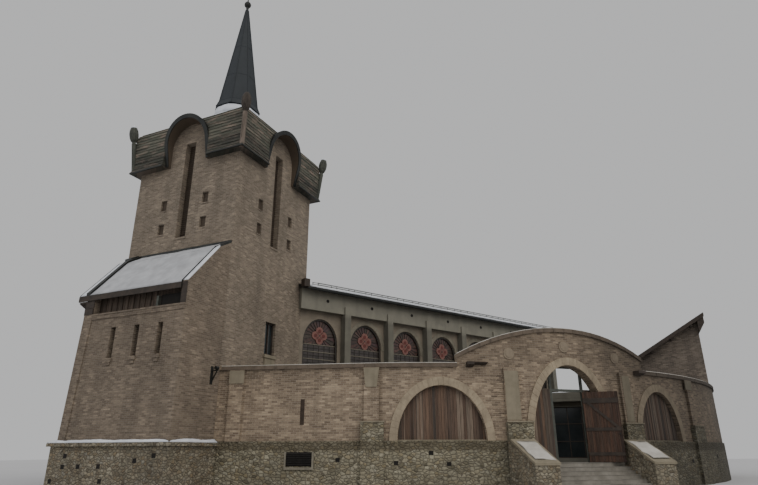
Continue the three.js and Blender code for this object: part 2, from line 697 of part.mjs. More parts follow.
function courtyardWall() {
  const group = new THREE.Group();
  const [leftArch, rightArch] = SIDE_ARCHES;
  const edge = (arch, side) => (side < 0 ? arch.from - RING.width : arch.to + RING.width);
  const first = -200;
  group.add(piece('courtyard_wall_left', clearOfLeanTo(wallLength(first, edge(leftArch, -1) - GAP,
    [wallPilaster(WALL_PILASTERS[0]), wallPilaster(WALL_PILASTERS[1])])), 'brick'));
  group.add(piece('courtyard_left_arch', archHead(leftArch), 'brick'));
  group.add(piece('courtyard_wall_beside_entrance_left', wallLength(edge(leftArch, 1) + GAP,
    edge(ENTRANCE, -1) - GAP, [wallPilaster(WALL_PILASTERS[2])]), 'brick'));
  group.add(piece('entrance_arch', archHead(ENTRANCE), 'brick'));
  group.add(piece('courtyard_wall_beside_entrance_right', wallLength(edge(ENTRANCE, 1) + GAP,
    edge(rightArch, -1) - GAP, [wallPilaster(WALL_PILASTERS[3])]), 'brick'));
  group.add(piece('courtyard_right_arch', archHead(rightArch), 'brick'));
  group.add(piece('courtyard_wall_right', clearOfWing(wallLength(edge(rightArch, 1) + GAP, WALL.end,
    [wallPilaster(WALL_PILASTERS[4])])), 'brick'));

  // Rubble plinth with its piers, on both sides of the entrance
  const base = (from, to) => wallStrip(stations(from, to), flat(0), flat(BASE.top), -BASE.out, WALL.thick);
  group.add(piece('plinth_left', clearOfLeanTo(plinth(base(first, ENTRANCE.from), [1, 2])), 'rubble'));
  group.add(piece('plinth_right', clearOfWing(plinth(base(ENTRANCE.to, WALL.end), [3, 4])), 'rubble'));

  // Planks that close the side arches
  for (const arch of SIDE_ARCHES) {
    const list = archStations(arch.from + INFILL.clear, arch.to - INFILL.clear, ARCH_STEPS);
    const least = BASE.top + GAP + 5;
    const topOf = (s) => Math.max(least, archLine(arch, s, -INFILL.clear));
    const panel = wallStrip(list, flat(BASE.top + GAP), topOf, INFILL.set, INFILL.set + INFILL.thick);
    group.add(piece(`${arch.name}_arch_planks`, panel, 'planks'));
  }
  return group;
}

// Entrance

const ENTRANCE_MIDDLE = (ENTRANCE.from + ENTRANCE.to) / 2;
const ENTRANCE_TURN = (ENTRANCE_MIDDLE - WALL.straight) / WALL.radius;

// Threshold and steps: one stair that fills the doorway's foot and widens in front of the plinth
function entranceStair() {
  const back = WALL.thick + 300;
  const profile = [[back, 0], [back, THRESHOLD], [-STEP.landing, THRESHOLD]];
  for (let i = 1; i < STEP.count; i += 1) {
    const out = -STEP.landing - (i - 1) * STEP.going;
    const height = THRESHOLD - i * STEP.rise;
    profile.push([out, height], [out - STEP.going, height]);
  }
  profile.push([-STEP.landing - (STEP.count - 1) * STEP.going, 0]);
  const shape = outline(profile.reverse());
  const [x, y] = wallPlace(ENTRANCE_MIDDLE, 0);
  const set = (half) => lengthwise(shape, -half, half).rotateZ(ENTRANCE_TURN).translate(x, y, 0);
  const reach = STEP.halfOutside + 400;
  const list = stations(ENTRANCE_MIDDLE - reach, ENTRANCE_MIDDLE + reach, 150);
  const before = (places, out) => wallStrip(places, flat(-100), flat(4000), -out, 2500);
  const piers = [PIERS[1], PIERS[2]].map(([from, to]) => before([from - GAP, to + GAP], PIER_OUT + 2 * GAP));
  return join([set(STEP.half), cut(set(STEP.halfOutside), [before(list, BASE.out + 2 * GAP), ...piers])]);
}

// A rubble cheek wall beside the steps, its top sloping down to the street
function cheekWall(side) {
  const profile = outline([[-CHEEK.reach, 0], [600, 0], [600, CHEEK.high], [-PIER_OUT, CHEEK.high],
    [-CHEEK.reach, CHEEK.low]]);
  const near = STEP.halfOutside + GAP;
  const far = near + CHEEK.width;
  const body = side < 0 ? lengthwise(profile, -far, -near) : lengthwise(profile, near, far);
  const [x, y] = wallPlace(ENTRANCE_MIDDLE, 0);
  const reach = far + 300;
  const list = stations(ENTRANCE_MIDDLE - reach, ENTRANCE_MIDDLE + reach, 150);
  const wall = wallStrip(list, flat(-100), flat(4000), -PIER_OUT - 2 * GAP, 2500);
  return cut(body.rotateZ(ENTRANCE_TURN).translate(x, y, 0), [wall]);
}

// The fixed frame behind the arch: two posts, a transom and a head rail
function transomFrame() {
  const depth = WALL.thick + SCREEN.behind;
  const back = depth + SCREEN.thick;
  const bar = (from, to, z0, z1) => wallStrip([from, to], flat(z0), flat(z1), depth, back);
  const left = PASSAGE.from - SCREEN.post;
  const right = PASSAGE.to + SCREEN.post;
  const list = [left, PASSAGE.from, PASSAGE.to, right];
  const rail = (top) => wallStrip(list, flat(top - SCREEN.rail), flat(top), depth, back);
  return join([
    bar(left, PASSAGE.from, THRESHOLD + GAP, SCREEN.frameTop),
    bar(PASSAGE.to, right, THRESHOLD + GAP, SCREEN.frameTop),
    rail(SCREEN.head),
    rail(SCREEN.frameTop),
    ...HINGE.heights.flatMap(hingePin),
  ]);
}

// The hinge axis, with +X along the leaf when it is opened by an angle
function hingePlace(opened) {
  const [x, y] = wallPlace(PASSAGE.to, HINGE.depth);
  return new THREE.Matrix4().makeRotationZ(ENTRANCE_TURN + Math.PI + opened).setPosition(x, y, 0);
}

// A pin that carries a knuckle of the leaf, and its arm from the post
function hingePin(height) {
  const top = THRESHOLD + LEAF.below + height - HINGE.length / 2 - GAP;
  const pin = new THREE.CylinderGeometry(HINGE.radius, HINGE.radius, HINGE.pin, 12).rotateX(Math.PI / 2);
  const arm = block(-HINGE.arm, 0, -HINGE.offset - 20, 10, top - HINGE.pin, top);
  return [pin.translate(0, 0, top - HINGE.pin / 2), arm].map((form) => form.applyMatrix4(hingePlace(0)));
}

function sidePanel(from, to) {
  return wallStrip([from, (from + to) / 2, to], flat(THRESHOLD + GAP), flat(SCREEN.head),
    WALL.thick + SCREEN.behind, WALL.thick + SCREEN.behind + SCREEN.thick);
}

// The plank leaf, drawn from its hinge axis outwards, with two hinge knuckles on the axis
function gateLeaf() {
  const face = -HINGE.offset;
  const bottom = THRESHOLD + LEAF.below;
  const top = bottom + LEAF.height;
  const parts = [block(LEAF.gap, LEAF.gap + LEAF.width, face - LEAF.thick, face, bottom, top)];
  for (const height of HINGE.heights) {
    const z = bottom + height;
    const knuckle = new THREE.CylinderGeometry(HINGE.radius, HINGE.radius, HINGE.length, 12);
    parts.push(knuckle.rotateX(Math.PI / 2).translate(0, 0, z));
    parts.push(block(8, LEAF.gap + 60, face - 8, -2, z - HINGE.length / 2, z + HINGE.length / 2));
  }
  return join(parts);
}

function entrance() {
  const group = new THREE.Group();
  group.add(piece('entrance_steps', entranceStair(), 'stone'));
  group.add(piece('steps_cheek_left', cheekWall(-1), 'rubble'));
  group.add(piece('steps_cheek_right', cheekWall(1), 'rubble'));
  group.add(piece('gate_frame', transomFrame(), 'timber'));
  const left = PASSAGE.from - SCREEN.post - GAP;
  const right = PASSAGE.to + SCREEN.post + GAP;
  group.add(piece('gate_side_panel_left', sidePanel(ENTRANCE.from - SCREEN.lap, left), 'planks'));
  group.add(piece('gate_side_panel_right', sidePanel(right, ENTRANCE.to + SCREEN.lap), 'planks'));

  const leaf = piece('gate_leaf', gateLeaf(), 'planks');
  hingePlace(THREE.MathUtils.degToRad(LEAF.open)).decompose(leaf.position, leaf.quaternion, leaf.scale);
  group.add(leaf);
  return group;
}

// Right wing, turned as the tower is

function wingPlace() {
  return new THREE.Matrix4().makeRotationZ(TOWER_TURN).setPosition(WING.corner[0], WING.corner[1], 0);
}

function wing() {
  const group = new THREE.Group();
  const w = WING;
  const slope = (w.high - w.low) / w.width;
  const top = (x) => w.high + x * slope;
  const outer = outline([[-w.width, 0], [0, 0], [0, top(0)], [-w.width, top(-w.width)]]);
  const inner = outline([[w.wall - w.width, -100], [-w.wall, -100], [-w.wall, 20000],
    [w.wall - w.width, 20000]]);
  const walls = cut(plate(outer, 0, w.depth), [plate(inner, w.wall, w.depth - w.wall)]);
  group.add(piece('wing_walls', walls, 'brick'));
  const over = w.overhang;
  const low = -w.width;
  const roof = outline([[over, top(over) + GAP], [over, top(over) + w.roof], [low, top(low) + w.roof],
    [low, top(low) + GAP]]);
  group.add(piece('wing_roof', plate(roof, -over, w.depth + over), 'metal'));
  return group;
}

// Hall

// A piece drawn in the wing's frame is cut back to the nave's walls and to its last pilaster
function clearOfNave(geometry) {
  const left = FIRST_PILASTER + (BAY.count - 1) * BAY.width - PILASTER.width / 2;
  const body = block(0, NAVE.length + GAP, -GAP, NAVE.width, -100, NAVE.eave);
  const pilaster = block(left - GAP, left + PILASTER.width + GAP, -PILASTER.out - GAP, 10, -100, NAVE.eave);
  const place = wingPlace().invert().multiply(navePlace());
  return cut(geometry, [body, pilaster].map((tool) => tool.applyMatrix4(place)));
}

function lowHall() {
  const group = new THREE.Group();
  const h = HALL;
  const right = -WING.width - GAP;
  const inside = h.front + h.wall;
  const doorway = block(h.door.from, h.door.to, h.front - 10, inside + 10, h.door.sill, h.door.head);
  const front = cut(block(h.left, right, h.front, inside, 0, h.top), [doorway]);
  group.add(piece('hall_front_wall', clearOfNave(front), 'concrete'));
  const back = block(h.left, right, WING.depth - h.wall, WING.depth, 0, h.top);
  group.add(piece('hall_back_wall', clearOfNave(back), 'concrete'));
  group.add(piece('hall_glass', block(h.door.from - h.lap, h.door.to + h.lap, inside + GAP,
    inside + h.glass, h.door.sill - h.lap, h.door.head + h.lap), 'glass'));
  const roof = block(h.left, right, h.front - h.overhang, WING.depth + h.back, h.top + GAP, h.top + h.roof);
  group.add(piece('hall_roof', clearOfNave(roof), 'concrete'));
  return group;
}

// Whole building

const tower = new THREE.Group();
tower.add(towerShaft(), crown(), spire(), leanTo());
towerPlace().decompose(tower.position, tower.quaternion, tower.scale);

const long = nave();
navePlace().decompose(long.position, long.quaternion, long.scale);

const side = new THREE.Group();
side.add(wing(), lowHall());
wingPlace().decompose(side.position, side.quaternion, side.scale);

const site = new THREE.Group();
site.add(tower, long, courtyardWall(), entrance(), side);

// The origin is the bottom centre of the whole
site.updateMatrixWorld(true);
const bounds = new THREE.Box3().setFromObject(site, true);
const middle = bounds.getCenter(new THREE.Vector3());
site.position.set(-middle.x, -middle.y, -bounds.min.z);

const church = new THREE.Group();
church.add(site);

export default church;
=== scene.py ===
import random
from math import cos, hypot, pi, radians, sin, sqrt

import bmesh
import bpy
from mathutils import Matrix, Vector, noise


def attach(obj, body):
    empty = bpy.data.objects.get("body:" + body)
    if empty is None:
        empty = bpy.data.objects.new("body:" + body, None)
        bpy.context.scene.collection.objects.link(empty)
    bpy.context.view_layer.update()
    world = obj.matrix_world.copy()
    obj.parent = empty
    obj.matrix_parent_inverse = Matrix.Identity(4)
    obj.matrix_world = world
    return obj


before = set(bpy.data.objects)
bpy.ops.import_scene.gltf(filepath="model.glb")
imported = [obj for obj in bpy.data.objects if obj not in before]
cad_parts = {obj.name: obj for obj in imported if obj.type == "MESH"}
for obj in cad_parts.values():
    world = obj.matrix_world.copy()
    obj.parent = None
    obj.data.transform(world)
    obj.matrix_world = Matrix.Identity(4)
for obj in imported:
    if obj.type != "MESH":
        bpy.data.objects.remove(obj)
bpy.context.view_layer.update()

# ---- places, in metres

OFFSET = (-10.62201, -14.325419)
TOWER_TURN = radians(-16.86)
TOWER_FACE = -3.5
NAVE_TURN = radians(44.39)
WALL_STRAIGHT = 6.43
WALL_RADIUS = 21.48
WALL_THICK = 0.45
WALL_TOP = 5.1
ENTRANCE_MIDDLE = 16.115
ENTRANCE_TURN = (ENTRANCE_MIDDLE - WALL_STRAIGHT) / WALL_RADIUS
LEAF_TURN = ENTRANCE_TURN + radians(142)


def shifted(x, y, z=0):
    return Matrix.Translation((x, y, z))


def rotated(angle, axis="Z"):
    return Matrix.Rotation(angle, 4, axis)


def place(x, y, turn):
    return shifted(x + OFFSET[0], y + OFFSET[1]) @ rotated(turn)


def putter(matrix):
    return lambda x, y, z: matrix @ Vector((x, y, z))


def in_world(x, y, z):
    return Vector((x, y, z))


def on_wall(s, depth, z):
    """A place along the courtyard wall, at a depth behind its outer face."""
    if s <= WALL_STRAIGHT:
        return Vector((s + OFFSET[0], depth + OFFSET[1], z))
    angle = (s - WALL_STRAIGHT) / WALL_RADIUS
    r = WALL_RADIUS - depth
    return Vector((WALL_STRAIGHT + r * sin(angle) + OFFSET[0], WALL_RADIUS - r * cos(angle) + OFFSET[1], z))


TOWER = place(-2.33444, 4.36468, TOWER_TURN)
NAVE = place(1.897, 6.259, NAVE_TURN)
NAVE_BACK = NAVE @ shifted(22.57, 12) @ rotated(pi)
WING = place(26.805, 14.88, TOWER_TURN)
ENTRANCE = Matrix.Translation(on_wall(ENTRANCE_MIDDLE, 0, 0)) @ rotated(ENTRANCE_TURN)
HINGE = shifted(5.797488, -11.376384) @ rotated(LEAF_TURN + pi)

# The tower's four sides, each turned so that its face is on local -y
SIDES = {side: TOWER @ rotated(i * pi / 2) for i, side in enumerate(("front", "right", "back", "left"))}

# ---- camera and light

PITCH = 0.3529
ROLL = 0.0022
EYE_HEIGHT = 1.6
link = bpy.context.scene.collection.objects.link
camera = bpy.data.objects.new("camera", bpy.data.cameras.new("camera"))
link(camera)
camera.data.sensor_width = 36
camera.data.lens = 26.886
camera.data.clip_end = 500
camera.matrix_world = (shifted(0.1818, -39.4482, EYE_HEIGHT) @ rotated(radians(7.79)) @ rotated(pi / 2 + PITCH, "X")
                       @ rotated(-ROLL))
bpy.context.scene.camera = camera

world = bpy.data.worlds.new("studio")
bpy.context.scene.world = world
world.use_nodes = True
world.node_tree.nodes["Background"].inputs["Color"].default_value = (0.52, 0.522, 0.525, 1)
world.node_tree.nodes["Background"].inputs["Strength"].default_value = 1.08


def sun(name, turn, height, strength, spread, color):
    light = bpy.data.lights.new(name, "SUN")
    light.energy = strength
    light.angle = radians(spread)
    light.color = color
    item = bpy.data.objects.new(name, light)
    link(item)
    item.matrix_world = rotated(radians(turn)) @ rotated(radians(90 - height), "X")


sun("key", 46, 40, 1.05, 50, (1, 0.96, 0.9))
sun("fill", -50, 34, 0.4, 60, (0.97, 0.97, 1))

# ---- node materials

BRICK_LENGTH = 0.27
STONE_SCALE = 5.4
POST_GRAIN_TURN = 0.3


class Graph:
    """A material's node tree, with short calls for the nodes used here."""

    def __init__(self, name, roughness, metallic=0):
        self.material = bpy.data.materials.new(name)
        self.material.use_nodes = True
        self.tree = self.material.node_tree
        self.shader = self.tree.nodes["Principled BSDF"]
        self.shader.inputs["Roughness"].default_value = roughness
        self.shader.inputs["Metallic"].default_value = metallic
        self.position = self.add("TexCoord").outputs["Object"]

    def set(self, socket, value):
        if isinstance(value, bpy.types.NodeSocket):
            self.tree.links.new(value, socket)
        else:
            socket.default_value = (*value, 1) if socket.type == "RGBA" else value

    def add(self, kind, inputs=(), **settings):
        node = self.tree.nodes.new("ShaderNode" + kind)
        for key, value in settings.items():
            setattr(node, key, value)
        for key, value in dict(inputs).items():
            self.set(node.inputs[key], value)
        return node

    def math(self, operation, a, b=0):
        return self.add("Math", {0: a, 1: b}, operation=operation).outputs[0]

    def plus(self, a, b):
        return self.math("ADD", a, b)

    def minus(self, a, b):
        return self.math("SUBTRACT", a, b)

    def times(self, a, b):
        return self.math("MULTIPLY", a, b)

    def over(self, a, b):
        return self.math("DIVIDE", a, b)

    def split(self, vector):
        return self.add("SeparateXYZ", {0: vector}).outputs

    def vector(self, x, y, z=0):
        return self.add("CombineXYZ", {0: x, 1: y, 2: z}).outputs[0]

    def scaled(self, vector, factors):
        return self.add("VectorMath", {0: vector, 1: factors}, operation="MULTIPLY").outputs[0]

    def upright(self, factor):
        """The position with its height scaled, for marks that lie flat or run down."""
        return self.scaled(self.position, (1, 1, factor))

    def geometry(self, output):
        return self.add("NewGeometry").outputs[output]

    def noise(self, scale, detail=4, roughness=0.55, at=None):
        return self.add("TexNoise", {"Vector": at or self.position, "Scale": scale, "Detail": detail,
                                     "Roughness": roughness}).outputs["Fac"]

    def ramp(self, value, *stops):
        node = self.add("ValToRGB", {"Fac": value})
        elements = node.color_ramp.elements
        while len(elements) < len(stops):
            elements.new(0.5)
        for element, (at, color) in zip(elements, stops):
            element.position = at
            element.color = (*color, 1) if isinstance(color, tuple) else (color, color, color, 1)
        return node.outputs["Color"]

    def palette(self, value, colors):
        return self.ramp(value, *[(i / (len(colors) - 1), c) for i, c in enumerate(colors)])

    def mix(self, factor, a, b, blend="MIX"):
        return self.add("Mix", {0: factor, 6: a, 7: b}, data_type="RGBA", blend_type=blend).outputs[2]

    def shade(self, tone, value, *stops):
        """A tone multiplied by a ramp."""
        return self.mix(1, tone, self.ramp(value, *stops), "MULTIPLY")

    def bump(self, height, distance, strength=1, under=None):
        inputs = {"Height": height, "Distance": distance, "Strength": strength}
        if under:
            inputs["Normal"] = under
        return self.add("Bump", inputs).outputs[0]

    def done(self, color, normal):
        self.set(self.shader.inputs["Base Color"], color)
        self.set(self.shader.inputs["Normal"], normal)
        return self.material

    def face(self, turn):
        """(distance along a wall turned by an angle, height, the two as a vector); None is the courtyard wall."""
        if turn is None:
            return self.curved()
        c, s = cos(turn), sin(turn)
        along = self.add("VectorMath", {0: self.position, 1: (c - s, s + c, 0)}, operation="DOT_PRODUCT").outputs[1]
        height = self.split(self.position)[2]
        return along, height, self.vector(along, height)

    def curved(self):
        """The same for the courtyard wall, which is straight and then an arc."""
        x, y, height = self.split(self.position)
        dx = self.minus(x, WALL_STRAIGHT + OFFSET[0])
        dy = self.minus(WALL_RADIUS + OFFSET[1], y)
        past = self.math("MAXIMUM", dx, 0)
        reach = self.math("SQRT", self.plus(self.times(past, past), self.times(dy, dy)))
        arc = self.times(self.math("ARCTAN2", past, dy), WALL_RADIUS)
        along = self.minus(self.plus(arc, self.math("MINIMUM", dx, 0)), reach)
        return along, height, self.vector(along, height)


def times(color, factor):
    return tuple(min(1, v * factor) for v in color)


def paint_far_shade(g, tone):
    """Painted shade: the courtyard wall grows darker towards its far end."""
    far = g.over(g.plus(g.curved()[0], WALL_RADIUS), 30)
    return g.shade(tone, far, (0.33, 1), (0.41, 0.62), (0.55, 0.4), (0.77, 0.3), (0.87, 0.26))


def brick(name, turn, low, high, joint, row=0.082, far_shade=False):
    g = Graph(name, 0.92)
    _, height, flat = g.face(turn)
    wobble = g.noise(1.1, 3)
    bricks = g.add("TexBrick", {
        "Vector": flat, "Color1": (0, 0, 0), "Color2": (1, 1, 1), "Mortar": (0.5, 0.5, 0.5), "Scale": 1,
        "Mortar Size": 0.007, "Mortar Smooth": 0.25, "Bias": 0, "Brick Width": BRICK_LENGTH, "Row Height": row},
        offset=0.5)
    between = tuple(0.5 * (a + b) for a, b in zip(low, high))
    tone = g.ramp(bricks.outputs["Color"], (0, low), (0.45, between), (0.85, high), (1, times(high, 1.25)))
    tone = g.shade(tone, g.noise(0.45, 5, 0.6), (0.3, 0.78), (0.7, 1.18))
    tone = g.shade(tone, g.noise(5.5, 5, 0.65, g.upright(2.6)), (0.32, 0.8), (0.66, 1.15))
    streak = g.ramp(g.noise(1.6, at=g.upright(0.16)), (0.42, 0), (0.72, 0.5))
    tone = g.mix(streak, tone, times(low, 0.55))
    tone = g.mix(g.times(bricks.outputs["Fac"], g.plus(wobble, 0.35)), tone, joint)
    # Darker towards the top of the wall, and painted shade towards its far end
    if far_shade:
        edge = g.plus(g.over(g.minus(height, 4.3), 2.6), g.times(wobble, 0.25))
        tone = paint_far_shade(g, g.shade(tone, edge, (0.12, 1), (0.3, 0.9), (0.62, 0.74), (1, 0.7)))
    tone = g.mix(g.ramp(height, (0, 0.35), (1, 0)), tone, times(low, 0.6))
    normal = g.bump(g.minus(1, bricks.outputs["Fac"]), 0.014, 0.9)
    return g.done(tone, g.bump(g.noise(22, 4, 0.7), 0.012, 0.5, normal))


def rubble(name, colors, joint, moss=None, far_shade=False):
    g = Graph(name, 0.93)
    spot = g.upright(1.5)
    shift = g.add("TexNoise", {"Vector": spot, "Scale": 2.2, "Detail": 2}).outputs["Color"]
    bent = g.add("VectorMath", {0: spot, 1: g.scaled(shift, (0.16, 0.16, 0.16))}, operation="ADD").outputs[0]
    cells = {"Vector": bent, "Scale": STONE_SCALE, "Randomness": 0.9}
    edge = g.add("TexVoronoi", cells, feature="DISTANCE_TO_EDGE").outputs["Distance"]
    tone = g.palette(g.split(g.add("TexVoronoi", cells).outputs["Color"])[0], colors)
    tone = g.shade(tone, g.noise(9, 5, 0.7), (0.3, 0.72), (0.7, 1.2))
    patch = g.ramp(g.noise(0.8, at=g.upright(0.5)), (0.4, 0), (0.75, 0.55))
    tone = g.mix(patch, tone, times(colors[0], 0.45))
    tone = g.mix(g.ramp(edge, (0, 1), (0.055, 0)), tone, joint)
    if moss:
        rise = g.plus(g.split(g.position)[2], g.times(g.noise(1.8), 0.3))
        band = g.ramp(g.minus(rise, moss), (0, 0), (0.08, 0.6), (0.38, 0.6), (0.46, 0))
        tone = g.mix(band, tone, (0.075, 0.06, 0.034))
    # Painted shade towards the courtyard wall's far end
    if far_shade:
        tone = paint_far_shade(g, tone)
    normal = g.bump(g.ramp(edge, (0, 0), (0.16, 0.8), (0.5, 1)), 0.05, 0.9)
    return g.done(tone, g.bump(g.noise(30), 0.01, 0.5, normal))


def planks(name, turn, colors, width, across=False, gap=True, shade_below=None, streak=None, dark_from=None, far_shade=False):
    g = Graph(name, 0.82)
    along, height, _ = g.face(turn)
    run, rise = (height, along) if across else (along, height)
    board = g.math("FLOOR", g.over(run, width))
    pick = g.add("TexWhiteNoise", {"W": board}, noise_dimensions="1D").outputs["Value"]
    pick = g.math("FRACT", g.plus(pick, g.geometry("Random Per Island")))
    tone = g.palette(pick, colors)
    grain = g.noise(1, 5, 0.62, g.vector(g.times(run, 26), g.times(rise, 1.4), g.times(pick, 9)))
    tone = g.shade(tone, grain, (0.25, 0.45), (0.7, 1.35))
    fade = g.noise(1, 3, at=g.vector(g.times(run, 5), g.times(rise, 0.5)))
    tone = g.mix(g.ramp(fade, (0.5, 0), (0.8, 0.45)), tone, times(colors[-1], 2.1))
    if streak:
        run_down = g.noise(1, 4, 0.7, g.vector(g.times(along, 0.9), g.times(height, 4.5)))
        tone = g.mix(g.ramp(run_down, (0.5, 0), (0.62, 0.8)), tone, streak)
    # Painted shade on the lower boards, which lean back under the crown's bulge and face down
    if shade_below:
        rise = g.plus(height, g.times(g.noise(1.3, 3), 0.5))
        tone = g.shade(tone, g.minus(rise, shade_below), (0, 0.55), (0.5, 1))
    if dark_from:
        tone = g.shade(tone, g.minus(height, dark_from), (0, 1), (0.08, 0.35))
    # Painted shade towards the courtyard wall's far end
    if far_shade:
        tone = paint_far_shade(g, tone)
    normal = g.bump(grain, 0.006, 0.7)
    if gap:
        inside = g.math("FRACT", g.over(run, width))
        joint = g.ramp(g.math("MINIMUM", inside, g.minus(1, inside)), (0, 0), (0.06, 1))
        tone = g.shade(tone, joint, (0, 0.2), (1, 1))
        normal = g.bump(joint, 0.012, 1, normal)
    return g.done(tone, normal)


def plain(name, dark, light, scale=3, roughness=0.8, metallic=0, depth=0.004, streaks=0, dim_below=None,
          far_shade=False, under=None):
    """A mottled surface: paint, sheet metal, stone or render, with streaks that run down."""
    g = Graph(name, roughness, metallic)
    tone = g.ramp(g.noise(scale, 6, 0.62), (0.28, dark), (0.72, light))
    if streaks:
        run = g.noise(scale * 1.6, at=g.upright(0.12))
        tone = g.mix(g.ramp(run, (0.45, 0), (0.75, streaks)), tone, times(dark, 0.45))
    # Painted shade towards the courtyard wall's far end
    if far_shade:
        tone = paint_far_shade(g, tone)
    if dim_below:
        tone = g.shade(tone, g.minus(dim_below, g.split(g.position)[2]), (0, 1), (0.3, 0.68))
    if under:
        down = g.plus(g.times(g.split(g.geometry("Normal"))[2], -1), 0.45)
        tone = g.mix(g.ramp(down, (0.3, 0), (0.4, 1)), tone, under)
    return g.done(tone, g.bump(g.noise(scale * 9, 5, 0.65), depth, 0.7))


def snow(name, low, high):
    g = Graph(name, 0.55)
    soft = g.noise(1.7, 6, 0.6)
    grains = g.noise(60, 3, 0.7)
    return g.done(g.ramp(soft, (0.3, low), (0.65, high)), g.bump(grains, 0.004, 0.5, g.bump(soft, 0.05, 0.6)))


def leaded_panes():
    """Leaded panes, each in a tint of its own."""
    g = Graph("leaded_panes", 0.3)
    tone = g.ramp(g.geometry("Random Per Island"), (0, (0.04, 0.026, 0.02)), (0.3, (0.078, 0.036, 0.028)),
                  (0.5, (0.048, 0.038, 0.028)), (0.75, (0.095, 0.048, 0.038)), (1, (0.055, 0.028, 0.032)))
    tone = g.shade(tone, g.noise(5), (0.3, 0.6), (0.7, 1.4))
    return g.done(tone, g.bump(g.noise(14, 3), 0.004, 0.6))


